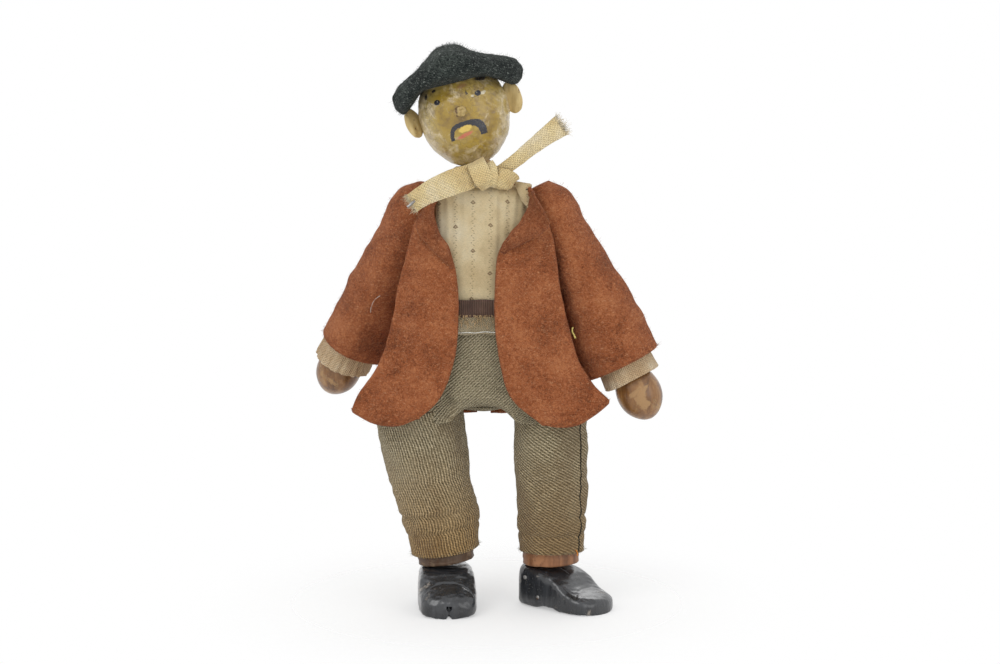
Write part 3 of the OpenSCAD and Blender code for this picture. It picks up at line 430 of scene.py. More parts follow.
# Colours of each material from dark to light, with its own sizes in millimetres
looks = dict(
    coat=dict(dark=(0.15, 0.042, 0.014), main=(0.35, 0.1, 0.034), light=(0.52, 0.19, 0.075), lint=0.7,
              lintColour=(0.68, 0.35, 0.18), nap=0.8, sheen=0.06),
    beret=dict(dark=(0.003, 0.006, 0.006), main=(0.014, 0.02, 0.018), light=(0.075, 0.09, 0.08), lint=0.75,
               lintColour=(0.4, 0.44, 0.4), nap=1.0, sheen=0.06),
    twill=dict(dark=(0.045, 0.034, 0.016), main=(0.27, 0.215, 0.118), light=(0.75, 0.64, 0.44), pitch=1.9,
               slope=1.6, weft=0.6, worn=(0.36, 0.31, 0.2), stain=(0.17, 0.115, 0.06), low=(0.97, 0.75, 0.52),
               fade=0.7, long=60.0, ribs=0.12),
    shirt=dict(dark=(0.56, 0.4, 0.2), main=(0.8, 0.65, 0.39), light=(0.88, 0.77, 0.54), pitch=0.5, depth=0.1,
               print=(6.2, 16.9), diamond=(1.05, 0.88), start=(1.3, 17.2), ink=(0.13, 0.055, 0.02)),
    cuff=dict(dark=(0.46, 0.28, 0.14), main=(0.68, 0.5, 0.3), light=(0.86, 0.74, 0.54), pitch=1.0, depth=0.2,
              dots=0.35),
    tape=dict(dark=(0.74, 0.52, 0.22), main=(0.9, 0.72, 0.38), light=(0.96, 0.84, 0.6), pitch=1.15, depth=0.25,
              dots=0.3),
    belt=dict(dark=(0.06, 0.03, 0.022), main=(0.16, 0.09, 0.062), light=(0.32, 0.2, 0.15), pitch=0.8, depth=0.25,
              dots=0.5, ribbed=True),
    fray=dict(dark=(0.36, 0.28, 0.16), main=(0.5, 0.41, 0.26), light=(0.7, 0.61, 0.43), pitch=0.9, depth=0.3,
              dots=0.4),
    elastic=dict(dark=(0.01, 0.01, 0.01), main=(0.02, 0.02, 0.02), light=(0.05, 0.05, 0.05), pitch=0.5, depth=0.12),
    brown=dict(dark=(0.08, 0.028, 0.008), main=(0.25, 0.115, 0.034), light=(0.46, 0.26, 0.1), patch=95.0, wear=0.57,
               chips=0.8, bare=(0.36, 0.205, 0.085), rough=0.3, depth=0.2, coat=0.3),
    black=dict(dark=(0.01, 0.011, 0.013), main=(0.026, 0.028, 0.032), light=(0.065, 0.068, 0.076), patch=150.0,
               wear=0.62, chips=0.8, bare=(0.26, 0.23, 0.2), rough=0.26, depth=0.35, coat=0.6),
    tan=dict(dark=(0.46, 0.32, 0.12), main=(0.66, 0.5, 0.22), light=(0.8, 0.67, 0.38), patch=170.0, wear=0.6,
             chips=0.6, bare=(0.34, 0.2, 0.09), rough=0.5, depth=0.2, coat=0.1),
    bareWood=dict(dark=(0.42, 0.28, 0.15), main=(0.55, 0.39, 0.23), light=(0.66, 0.5, 0.32), patch=60.0, wear=0.62,
                  chips=0.3, bare=(0.34, 0.22, 0.12), rough=0.6, depth=0.15, coat=0.0),
    steel=dict(dark=(0.2, 0.19, 0.18), main=(0.35, 0.34, 0.33), light=(0.55, 0.54, 0.53), patch=200.0, wear=0.55,
               chips=0.5, bare=(0.16, 0.08, 0.04), rough=0.35, depth=0.1, coat=0.0, metal=0.9),
    noseWood=dict(dark=(0.3, 0.19, 0.06), main=(0.48, 0.35, 0.13), light=(0.66, 0.55, 0.33), patch=300.0, wear=0.58,
                  chips=0.8, bare=(0.2, 0.12, 0.06), rough=0.4, depth=0.3, coat=0.2),
    face=dict(dark=(0.16, 0.09, 0.014), main=(0.36, 0.232, 0.024), light=(0.47, 0.345, 0.1), bare=(0.74, 0.62, 0.42),
              rim=(0.15, 0.085, 0.03), crack=(0.09, 0.05, 0.02), white=(0.68, 0.62, 0.46), red=(0.56, 0.13, 0.075),
              navy=(0.005, 0.005, 0.008), navyLight=(0.018, 0.018, 0.04), chip=(0.72, 0.5, 0.1),
              scar=(0.3, 0.14, 0.07)))

# Looks that change a few values of another
looks.update(
    # painted shade: the lapels' felt is a darker copy of the coat's, so that the turned lapels read as lying in shadow
    coatTurned=dict(looks["coat"], main=(0.24, 0.066, 0.022), light=(0.42, 0.145, 0.058)),
    twillWorn=dict(looks["twill"], slope=0.2, pitch=1.05, fade=1.0, worn=(0.42, 0.36, 0.24), main=(0.29, 0.235, 0.135)),
    seatTwill=dict(looks["twill"], slope=-1.1, pitch=1.3, fade=0.0, ribs=0.08, main=(0.31, 0.26, 0.16),
                   light=(0.68, 0.6, 0.42)),
    darkBrown=dict(looks["brown"], main=(0.1, 0.06, 0.035), light=(0.2, 0.13, 0.085), bare=(0.24, 0.16, 0.1),
                   rough=0.55, coat=0.0),
    redBrown=dict(looks["brown"], main=(0.3, 0.13, 0.055), light=(0.42, 0.2, 0.09), bare=(0.36, 0.17, 0.08),
                  rough=0.5, coat=0.0))

fibreColours = dict(
    coatFibre=(0.52, 0.21, 0.09), beretFibre=(0.09, 0.115, 0.1), twillFibre=(0.4, 0.36, 0.26),
    frayFibre=(0.66, 0.46, 0.25), tapeThread=(0.85, 0.73, 0.5), whiteThread=(0.86, 0.84, 0.76),
    seamThread=(0.02, 0.02, 0.016), yellowThread=(0.75, 0.62, 0.2), orangeThread=(0.75, 0.28, 0.06))

finishes = {
    feltMaterial: ("coat", "coatTurned", "beret"),
    twillMaterial: ("twill", "twillWorn", "seatTwill"),
    wovenMaterial: ("shirt", "cuff", "tape", "belt", "fray", "elastic"),
    varnishMaterial: ("brown", "darkBrown", "redBrown", "black", "tan", "bareWood", "steel", "noseWood"),
    facePaintMaterial: ("face",)}


def makeMaterials():
    made = {name: make(name + "Finish", looks[name]) for make, names in finishes.items() for name in names}
    made.update({name: fibreMaterial(name, colour) for name, colour in fibreColours.items()})
    return made


# Number work. A curve through a list of values, each as far from the next: a cubic through four neighbours.
def curveAt(values, share):
    points = np.asarray(values, float)
    last = len(points) - 1
    at = np.clip(np.asarray(share, float), 0, 1) * last
    first = np.minimum(at.astype(int), last - 1)
    t = at - first
    if points.ndim > 1:
        t = t[..., None]
    a, b, c, d = (points[np.clip(first + step, 0, last)] for step in (-1, 0, 1, 2))
    return 0.5 * (2 * b + (c - a) * t + (2 * a - 5 * b + 4 * c - d) * t ** 2 + (3 * b - a - 3 * c + d) * t ** 3)


def mixOf(a, b, t):
    return a + (b - a) * t


def swell(t):
    return np.sin(np.pi * np.clip(t, 0, 1))


def bellAt(value, width):
    return np.exp(-(value / width) ** 2)


def squared(value, power):
    return np.sign(value) * np.abs(value) ** power


def unitOf(vectors):
    return vectors / np.maximum(np.linalg.norm(vectors, axis=-1, keepdims=True), 1e-9)


# Smooth lumps at points in space: a sum of seeded sine waves in many directions, between about -1 and 1
def lumps(points, size, seed, layers=7):
    random = np.random.default_rng(seed)
    total = 0
    for layer in range(layers):
        direction = random.normal(size=3)
        direction *= 2 * math.pi / size * random.uniform(0.7, 1.6) / np.linalg.norm(direction)
        total = total + np.sin(points @ direction + random.uniform(0, 6.28))
    return total / math.sqrt(layers * 0.5) * 0.6


# Shares down and across a sheet
def grid(rows, cols):
    return np.meshgrid(np.linspace(0, 1, rows), np.linspace(0, 1, cols), indexing="ij")


# Shares down a tube and degrees round it, or the same turned backwards in radians
def ringGrid(rows, cols):
    s, v = np.meshgrid(np.linspace(0, 1, rows), np.arange(cols) / cols, indexing="ij")
    return s, v * 360


def angleGrid(rows, cols):
    s, turn = ringGrid(rows, cols)
    return s, -np.radians(turn)


# Angles up from a ball's middle and round it, stopping short of each pole by a small share
def ballGrid(part):
    s, a = angleGrid(part["rows"], part["cols"])
    return np.pi * (mixOf(1 - part["pole"], part["pole"], s) - 0.5), a


def stack(x, y, z):
    return np.stack(np.broadcast_arrays(x, y, z), axis=-1)


# Outward direction at each grid point: the step along the row crossed with the step down the column
def gridNormals(points, ring):
    down = np.gradient(points, axis=0)
    if ring:
        along = np.roll(points, -1, axis=1) - np.roll(points, 1, axis=1)
    else:
        along = np.gradient(points, axis=1)
    return unitOf(np.cross(along, down))


def raised(points, height, ring=False):
    return points + gridNormals(points, ring) * np.asarray(height)[..., None]


# Each column becomes a quarter of its neighbours on both sides and half of itself, a few times over
def eased(points, times):
    for _ in range(times):
        points[:, 1:-1] = (points[:, :-2] + 2 * points[:, 1:-1] + points[:, 2:]) / 4
    return points


# Flat millimetres of each grid point: length along its row from the middle, and down its column from the top
def flatOf(points, ring):
    if ring:
        points = np.concatenate([points, points[:, :1]], axis=1)
    along = np.linalg.norm(np.diff(points, axis=1), axis=-1)
    along = np.concatenate([np.zeros((len(points), 1)), np.cumsum(along, axis=1)], axis=1)
    along -= along[:, [along.shape[1] // 2]]
    down = np.linalg.norm(np.diff(points, axis=0), axis=-1)
    down = np.concatenate([np.zeros((1, points.shape[1])), np.cumsum(down, axis=0)], axis=0)
    return np.stack([along, down], axis=-1)


def quadsOf(rows, cols, ring):
    i, j = np.meshgrid(np.arange(rows - 1), np.arange(cols if ring else cols - 1), indexing="ij")
    i, j = i.ravel(), j.ravel()
    k = (j + 1) % cols
    faces = np.stack([i * cols + j, i * cols + k, (i + 1) * cols + k, (i + 1) * cols + j], axis=1)
    wide = cols + 1 if ring else cols
    corners = np.stack([i * wide + j, i * wide + j + 1, (i + 1) * wide + j + 1, (i + 1) * wide + j], axis=1)
    return faces, corners


def meshFrom(points, faces, flat):
    mesh = bpy.data.meshes.new("surface")
    mesh.from_pydata(points.reshape(-1, 3) * mm, [], faces)
    layer = mesh.uv_layers.new(name="flat")
    layer.data.foreach_set("uv", np.asarray(flat, np.float32).ravel())
    mesh.polygons.foreach_set("use_smooth", np.ones(len(mesh.polygons), bool))
    mesh.update()
    return mesh


rimOut = 0.35  # how far the edge of a cloth rounds out, as a share of its thickness


# Cloth with both faces: the outer grid, the same grid a thickness further in, and a rounded rim between them
def clothMesh(outer, thick, ring=False):
    rows, cols = outer.shape[:2]
    count = rows * cols
    inner = outer - gridNormals(outer, ring) * thick
    flat = flatOf(outer, ring)
    faces, corners = quadsOf(rows, cols, ring)
    top = np.arange(cols)
    if ring:
        loops = [np.append(top, 0), np.append(top, 0)[::-1] + (rows - 1) * cols]
        wideLoops = [np.arange(cols + 1), np.arange(cols + 1)[::-1] + (rows - 1) * (cols + 1)]
    else:
        edge = np.concatenate([top, np.arange(1, rows) * cols + cols - 1, top[::-1][1:] + (rows - 1) * cols,
                               np.arange(rows - 2, -1, -1) * cols])
        loops = wideLoops = [edge]
    uv = flat.reshape(-1, 2)
    allFaces = [faces, faces[:, ::-1] + count]
    allFlat = [uv[corners], uv[corners[:, ::-1]]]
    points = [outer.reshape(-1, 3), inner.reshape(-1, 3)]
    start = 2 * count
    for loop, wide in zip(loops, wideLoops):
        i, j = loop // cols, loop % cols
        inward = outer[np.clip(i, 1, rows - 2), j if ring else np.clip(j, 1, cols - 2)]
        outwards = unitOf(points[0][loop] - inward)
        middle = (points[0][loop] + points[1][loop]) / 2 + outwards * thick * rimOut
        points.append(middle[:-1])
        a, b = np.arange(len(loop) - 1), np.append(np.arange(1, len(loop) - 1), 0)
        allFaces += [np.stack([loop[1:], loop[:-1], start + a, start + b], axis=1),
                     np.stack([start + b, start + a, loop[:-1] + count, loop[1:] + count], axis=1)]
        allFlat += [np.stack([uv[wide[1:]], uv[wide[:-1]], uv[wide[:-1]], uv[wide[1:]]], axis=1)] * 2
        start += len(loop) - 1
    return meshFrom(np.concatenate(points), np.concatenate(allFaces).tolist(), np.concatenate(allFlat))


# Closed form from a ring grid, its first and last rows drawn in to poles
def closedMesh(points):
    rows, cols = points.shape[:2]
    faces, corners = quadsOf(rows, cols, True)
    flat = flatOf(points, True).reshape(-1, 2)
    poles = np.stack([points[0].mean(axis=0), points[-1].mean(axis=0)])
    j = np.arange(cols)
    k = (j + 1) % cols
    first = np.stack([np.full(cols, rows * cols), k, j], axis=1)
    last = np.stack([np.full(cols, rows * cols + 1), j + (rows - 1) * cols, k + (rows - 1) * cols], axis=1)
    low = (rows - 1) * (cols + 1)
    fans = np.concatenate([np.stack([flat[j], flat[j + 1], flat[j]], axis=1),
                           np.stack([flat[low + j], flat[low + j], flat[low + j + 1]], axis=1)])
    uv = np.concatenate([flat[corners].reshape(-1, 2), fans.reshape(-1, 2)])
    return meshFrom(np.concatenate([points.reshape(-1, 3), poles]), faces.tolist() + first.tolist() + last.tolist(), uv)


# Many thin threads at once: paths of shape (threads, points, 3), each a tube of three sides with pointed ends
def threadMesh(paths, radius):
    threads, steps = paths.shape[:2]
    along = unitOf(np.gradient(paths, axis=1))
    side = unitOf(np.cross(along, np.array([0.31, 0.52, 0.79])))
    other = np.cross(along, side)
    taper = np.full(steps, 1.0)
    taper[0] = taper[-1] = 0.25
    angles = np.arange(3) * 2 * math.pi / 3
    offsets = side[:, :, None] * np.cos(angles)[:, None] + other[:, :, None] * np.sin(angles)[:, None]
    points = paths[:, :, None] + offsets * radius * taper[None, :, None, None]
    starts = np.arange(threads) * steps * 3
    faces = (quadsOf(steps, 3, True)[0][None] + starts[:, None, None]).reshape(-1, 4)
    caps = np.concatenate([np.stack([starts + 2, starts + 1, starts], axis=1),
                           np.stack([starts, starts + 1, starts + 2], axis=1) + (steps - 1) * 3])
    return meshFrom(points, faces[:, ::-1].tolist() + caps[:, ::-1].tolist(),
                    np.zeros((len(faces) * 4 + len(caps) * 3, 2)))


# Frames of the joints: a turn and a place, as the construction model has them
def turnAbout(axis, degrees):
    c, s = math.cos(math.radians(degrees)), math.sin(math.radians(degrees))
    return np.array({"x": [[1, 0, 0], [0, c, -s], [0, s, c]], "y": [[c, 0, s], [0, 1, 0], [-s, 0, c]],
                     "z": [[c, -s, 0], [s, c, 0], [0, 0, 1]]}[axis])


def sideOf(k):
    return -1 if k == 0 else 1


def sideX(k, span):
    return body["x"] + sideOf(k) * span / 2


def inArm(points, k):
    turn = turnAbout("x", shoulder["back"][k]) @ turnAbout("y", shoulder["out"][k])
    return points @ turn.T + [sideX(k, shoulder["span"]), body["y"], shoulder["z"]]


def inLeg(points, k):
    return points @ turnAbout("y", hip["out"][k]).T + [sideX(k, hip["span"]), body["y"], hip["z"]]


def inNeck(points):
    return points + [neck["x"], body["y"], neck["z"]]


def inHead(points):
    return inNeck(points @ turnAbout("y", -neck["lean"]).T)


def onSole(points, k):
    x = sideX(k, hip["span"]) - math.sin(math.radians(hip["out"][k])) * hip["reach"]
    return points @ turnAbout("z", feet["turn"][k]).T + [x, body["y"], 0]


made = {}  # the materials, filled in below

# Each cloth piece as it was cut, in millimetres: width, length, area where it isn't a rectangle, then how it is
# held and what it lies on
cuts = dict(
    coatFront=(45, 88, 2450, "draped", "torso"), coatBack=(80, 56, 3150, "draped", "torso"),
    coatTail=(54, 31, None, "hung", "coatBack"), lapel=(11, 34, 210, "folded", "coatFront{}"),
    sleeve=(82, 70, 4700, "hung", "arm_{}"), shirtFront=(66, 50, 2200, "stretched", "torso"),
    trouserSeat=(160, 42, 5500, "gathered", "torso"), trouserCrotch=(19, 19, None, "stretched", "trouserSeat"),
    trouserLeg=(88, 52, None, "gathered", "leg_{}"), cuff=(64, 13, None, "gathered", "arm_{}"),
    beretFelt=(54, 54, 2200, "draped", "head"))


# A piece is attached to the body it rides, or, where two bodies are given, left where it is with its place baked in;
# its cut is looked up where its name, less the side, is in the cuts
def show(name, mesh, material, rides, replaces=()):
    mesh.name = name
    mesh.materials.append(made[material])
    piece = bpy.data.objects.new(name, mesh)
    bpy.context.collection.objects.link(piece)
    if isinstance(rides, tuple):
        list(rides)
        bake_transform(piece)
    else:
        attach(piece, rides)
    if replaces:
        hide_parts(*replaces)
    kind = name.removesuffix("Left").removesuffix("Right")
    if kind in cuts:
        wide, long, area, held, rests = cuts[kind]
        side = name[len(kind):]
        rests = rests.format(side if rests.startswith("coat") else side.lower())


# Short loose fibres standing off a cloth grid: a seeded handful of its points, each with a bent thread
def fuzz(outer, ring, count, length, seed, rows=(0, 1), cols=(0, 1)):
    random = np.random.default_rng(seed)
    tall, wide = outer.shape[:2]
    i = (random.uniform(rows[0], rows[1], count) * (tall - 1)).astype(int)
    j = (random.uniform(cols[0], cols[1], count) * (wide - 1)).astype(int)
    start = outer[i, j]
    normal = gridNormals(outer, ring)[i, j]
    lean = random.normal(size=(count, 3))
    steps = np.linspace(0, 1, 4)[None, :, None]
    size = random.uniform(0.4, 1, (count, 1, 1)) * length
    return start[:, None] + (normal[:, None] * steps * 0.7 + lean[:, None] * steps * 0.55
                             + np.roll(lean, 1, axis=1)[:, None] * steps ** 2 * 0.5) * size


# Coat felt, with its loose fibres over it as a piece of their own
felt = dict(thick=1.3, fibre=0.028, length=0.7, edge=0.8)


def showFelt(name, mesh, rides, replaces, fuzzName, handfuls, material="coat"):
    show(name, mesh, material, rides, replaces)
    show(fuzzName, threadMesh(np.concatenate(handfuls), felt["fibre"]), "coatFibre", rides)


# Coat fronts: three guide lines, the open edge, the outer line and the side seam, with soft folds added
coatFront = dict(
    rows=110, cols=72, bulge=1.3, dip=4.0, outer=0.75, fold=0.55, ease=12, fibres=1500, edgeFibres=260,
    openEdge=([[0.31, 0.255, 0], [0.385, 0.33, 0.06], [0.375, 0.36, 0.15], [0.255, 0.375, 0.27], [0.205, 0.38, 0.4],
               [0.2, 0.385, 0.555], [0.23, 0.4, 0.71], [0.34, 0.43, 0.865], [0.5, 0.455, 0.95]],
              [[0.36, 0.255, 0], [0.375, 0.33, 0.06], [0.295, 0.36, 0.14], [0.135, 0.375, 0.255], [0.102, 0.38, 0.4],
               [0.1, 0.385, 0.555], [0.135, 0.4, 0.71], [0.22, 0.43, 0.865], [0.46, 0.465, 0.975]]),
    outerLine=([[0.29, 0.2, 0.01], [0.42, 0.31, 0.06], [0.53, 0.31, 0.15], [0.6, 0.3, 0.26], [0.68, 0.29, 0.4],
                [0.735, 0.29, 0.555], [0.82, 0.3, 0.72], [0.99, 0.29, 0.85], [1.05, 0.32, 0.92]],
               [[0.31, 0.2, 0.01], [0.43, 0.31, 0.06], [0.51, 0.31, 0.15], [0.57, 0.3, 0.26], [0.61, 0.295, 0.4],
                [0.675, 0.295, 0.555], [0.745, 0.3, 0.71], [0.875, 0.31, 0.82], [1.0, 0.33, 0.885]]),
    seamAcross=[-1, 2.4, 6.4, 6.4, 4, 5.6, 13, 19, 22.5],
    seamForward=[-6, -1.5, -1.8, -2.4, -5.4, -5.4, -6, -6, -6])


# A front's point at share s down and u across: a mix of open edge and outer line up to share outer, and of outer
# line and side seam beyond it. It bulges forward by the swell, and dips by the swell times s^6 towards the hem.
def frontPoint(k, s, u):
    part = coatFront
    scale = np.array([sideOf(k) * body["coatHalf"], -body["coatHalf"], -body["coatLength"]])
    a = curveAt(part["openEdge"][k], s) * scale
    b = curveAt(part["outerLine"][k], s) * scale
    c = stack(sideOf(k) * (body["torsoWide"] / 2 + curveAt(part["seamAcross"], s)),
              -body["torsoDeep"] / 2 - curveAt(part["seamForward"], s), b[..., 2])
    near = mixOf(a, b, (u / part["outer"])[..., None])
    far = mixOf(b, c, ((u - part["outer"]) / (1 - part["outer"]))[..., None])
    middle = swell(u / part["outer"])
    points = np.where((u < part["outer"])[..., None], near, far)
    return points + stack(body["x"], body["y"] - part["bulge"] * middle,
                          body["coatTop"] - part["dip"] * middle * s ** 6)


def makeCoatFronts():
    part = coatFront
    for k, side in enumerate(sides):
        s, u = grid(part["rows"], part["cols"])
        if k == 1:
            u = 1 - u
        points = eased(frontPoint(k, s, u), part["ease"])
        free = swell(u / part["outer"]) * 0.6 + 0.4
        folds = lumps(points * [1, 0.4, 0.45], 17, 11 + k) + 0.5 * lumps(points, 6.5, 21 + k)
        points = raised(points, part["fold"] * free * folds)
        showFelt("coatFront" + side.title(), clothMesh(points, felt["thick"]), ("torso", "hip_stem_" + side),
                 ["coat_front_" + side], "coatFrontFuzz" + side.title(),
                 [fuzz(points, False, part["fibres"], felt["length"], 31 + k),
                  fuzz(points, False, part["edgeFibres"], felt["edge"], 41 + k, rows=(0.99, 1)),
                  fuzz(points, False, part["edgeFibres"], felt["edge"], 51 + k, cols=(k, k))])


# Lapels: a strip of the front's surface folded back, its outer edge run straight to a corner. It stands off the
# front by (thickness + gap + swell / 2 + lift * away^3) * (1 - 0.75 e^(-(away / roll width)^2)), so that it rolls
# over the open edge.
lapel = dict(rows=60, cols=30, start=0.05, ends=(0.43, 0.38), thick=1.17, gap=0.6, roll=0.8, rollWidth=0.07,
             lift=(1.3, 2.6), fibres=600, edgeFibres=160,
             reach=([0.3, 0.55, 0.8, 1.03, 0.82, 0.53, 0.28, 0.05], [0.25, 0.48, 0.7, 0.88, 1.06, 0.68, 0.34, 0.05]))


def makeLapels():
    part = lapel
    for k, side in enumerate(sides):
        s, v = grid(part["rows"], part["cols"])
        away = 1 - v if k == 1 else v
        reach = np.interp(s, np.linspace(0, 1, 8), part["reach"][k])
        points = frontPoint(k, mixOf(part["start"], part["ends"][k], s), away * reach * coatFront["outer"])
        tip = np.clip(reach / 0.35, 0.25, 1)
        fold = bellAt(away, part["rollWidth"])
        lift = felt["thick"] + part["gap"] + 0.5 * swell(away) + part["lift"][k] * away ** 3
        points = points + stack(-sideOf(k) * part["roll"] * fold * tip, -lift * (1 - 0.75 * fold) * tip, 0)
        points = raised(points, 0.28 * lumps(points, 8, 61 + k) * tip)
        # the lapels wear the darker felt, whose colour is painted shade
        showFelt("lapel" + side.title(), clothMesh(points, part["thick"]), "torso", ["lapel_" + side],
                 "lapelFuzz" + side.title(),
                 [fuzz(points, False, part["fibres"], felt["length"], 71 + k),
                  fuzz(points, False, part["edgeFibres"], felt["edge"], 73 + k, cols=(1 - k, 1 - k))], "coatTurned")


# Coat back and tails: rings about the body whose plan is squared by a power, in flares down to the hem
coatBack = dict(rows=70, cols=96, low=97.6, wide=[-3.4, 1, 1.6, 1.4, 1.6, 2.6, 4.2, 5.4, 7.2],
                deep=[2.1, 3.5, 3.6, 3.6, 3.6, 3.6, 4.7, 5.4, 5.4], turns=[112, 84, 86, 86, 88, 92, 94, 94, 94],
                power=[0.8, 0.3, 0.14, 0.14, 0.16, 0.42, 0.4, 0.38, 0.45], seam=0.35, fibres=2500)
coatTail = dict(rows=50, cols=60, wide=[7.2, 12.8, 17, 20, 22.6], deep=[5.4, 5.8, 6.4, 7.4, 8.8], turns=(0.5, 94),
                over=0.6, drop=(1.0, 0.94), wave=0.91, power=0.55, fibres=900, edgeFibres=260)


# A point at a turn from the middle of the back, where x goes by |sin|^power and y by |cos|^power. The torso's half
# sizes are widened and deepened by curves down the part.
def aroundBody(part, s, z, turn, power, more=0):
    wide = body["torsoWide"] / 2 + curveAt(part["wide"], s) + more
    deep = body["torsoDeep"] / 2 + curveAt(part["deep"], s) + more
    a = np.radians(turn)
    return stack(body["x"] + wide * squared(np.sin(a), power), body["y"] + deep * squared(np.cos(a), power), z)


def makeCoatBack():
    part = coatBack
    s, u = grid(part["rows"], part["cols"])
    points = aroundBody(part, s, mixOf(body["coatTop"], part["low"], s), (2 * u - 1) * curveAt(part["turns"], s),
                        curveAt(part["power"], s))
    folds = lumps(points * [1, 1, 0.6], 19, 81) + 0.4 * lumps(points, 7, 82)
    points = raised(points, 0.45 * swell(s * 0.8 + 0.1) * folds)
    seam = np.exp(-(points[..., 0] - body["x"]) ** 2 / 0.5)  # the middle seam draws the felt in
    points = raised(points, -part["seam"] * seam)
    showFelt("coatBack", clothMesh(points, felt["thick"]), "torso", ["coat_back"], "coatBackFuzz",
             [fuzz(points, False, part["fibres"], felt["length"], 83)])
    part = coatTail
    for k, side in enumerate(sides):
        s, u = grid(part["rows"], part["cols"])
        if k == 0:
            u = 1 - u
        hem = body["coatTop"] - body["coatLength"] * mixOf(*part["drop"], u)
        points = aroundBody(part, s, mixOf(coatBack["low"] + part["over"], hem, s),
                            sideOf(k) * mixOf(*part["turns"], u), part["power"],
                            s * part["wave"] * np.sin(np.radians(u * 720)))
        points = raised(points, 0.4 * s * lumps(points, 9, 91 + k))
        name = "coatTail" + side.title()
        showFelt(name, clothMesh(points, felt["thick"]), "torso", ["coat_tail_" + side], name + "Fuzz",
                 [fuzz(points, False, part["fibres"], felt["length"], 95 + k),
                  fuzz(points, False, part["edgeFibres"], felt["edge"], 97 + k, rows=(1, 1))])


# Sleeves: one felt tube from a closed shoulder dome to a trumpet hem, hung more to the body's side
sleeve = dict(rows=110, cols=88, top=9.0, length=60.0, wide=28.0, domeShare=0.22, domeHigh=9.3, ball=8.0, ease=6,
              out=([0.336, 0.36, 0.385, 0.395, 0.405], [0.345, 0.4, 0.445, 0.475, 0.475]),
              near=[0.29, 0.335, 0.415, 0.515, 0.585], deep=[0.4, 0.405, 0.405, 0.405, 0.41],
              dome=[-3.9, 0.2, 1.6, 1.75, 1.4], inner=5.0, fibres=2000, edgeFibres=320)


# A tube's point: half widths out from the body, near to it, and deep from front to back
def tubePoint(k, out, near, deep, a, z):
    c, s = np.cos(a), np.sin(a)
    return stack(sideOf(k) * np.where(c > 0, out, near) * c, sideOf(k) * deep * s, z)


def makeSleeves():
    part = sleeve
    for k, side in enumerate(sides):
        s, a = angleGrid(part["rows"], part["cols"])
        down = np.clip((s - part["domeShare"]) / (1 - part["domeShare"]), 0, 1)
        up = np.clip(s / part["domeShare"], 0, 1)
        curves = (part["out"][k], part["near"], part["deep"])
        out, near, deep = (part["wide"] * curveAt(curve, down) for curve in curves)
        onDome = s < part["domeShare"]
        dome = part["ball"] + curveAt(part["dome"], up)
        smooth = 3 * up ** 2 - 2 * up ** 3
        nearDome = np.minimum(mixOf(part["inner"], part["wide"] * part["near"][0], smooth), dome)
        z = np.where(onDome, mixOf(part["domeHigh"], -part["top"], up), -mixOf(part["top"], part["length"], down))
        points = tubePoint(k, np.where(onDome, dome, out), np.where(onDome, nearDome, near),
                           np.where(onDome, mixOf(dome, part["wide"] * part["deep"][0], up ** 2), deep), a, z)
        points = eased(points.swapaxes(0, 1), part["ease"]).swapaxes(0, 1)
        folds = 0.5 * lumps(points * [0.7, 0.7, 1.5], 14, 101 + k) + 0.14 * lumps(points, 5.5, 103 + k)
        outer = inArm(raised(points, 0.6 * swell(s) ** 0.5 * folds, True), k)
        # the hem is rounded, and the tube turns in there and goes back up to a second pole inside the first
        inner = outer - gridNormals(outer, True) * felt["thick"]
        hem = (outer[-1:] + inner[-1:]) / 2 + unitOf(outer[-1:] - outer[-2:-1]) * felt["thick"] * rimOut
        name = "sleeve" + side.title()
        showFelt(name, closedMesh(np.concatenate([outer, hem, inner[::-1]])), "arm_" + side,
                 ["sleeve_" + side, "sleeve_head_" + side], name + "Fuzz",
                 [fuzz(outer, True, part["fibres"], felt["length"], 105 + k),
                  fuzz(outer, True, part["edgeFibres"], felt["edge"], 107 + k, rows=(1, 1))])


# Shirt: a sheet round the body's front, bent in to the neck. Its plan is squared by a power, a pleat stands off it
# by high / (1 + e^(-(wide / 2 - |distance|) / 0.12)), and gathers fade down from the neck.
shirt = dict(rows=80, cols=150, wide=17.9, power=0.42, high=[150.9, 150.0, 147.6, 138, 126, 115, 105.2],
             deep=[8.2, 11.4, 13.0, 13.25, 13.25, 13.25, 13.25], turns=[60, 60, 58, 56, 64, 92, 100], pleatAt=2.6,
             pleatWide=4.4, pleatHigh=0.55, gathers=0.22, thick=0.6)

# The collar's loose end: a sheet between four corners, a mix of its two edges, bowed forward
collarEnd = dict(rows=24, cols=20, upper=((9.6, -16.2, 152.6), (15.2, -17.2, 151.6)),
                 lower=((12.2, -20.2, 146.2), (14.6, -21.2, 143.4)), bow=0.7, eyelet=(14.2, -18.9, 149.2),
                 eyeletSize=(0.62, 0.2, 0.8), thick=0.5, thread=0.2)


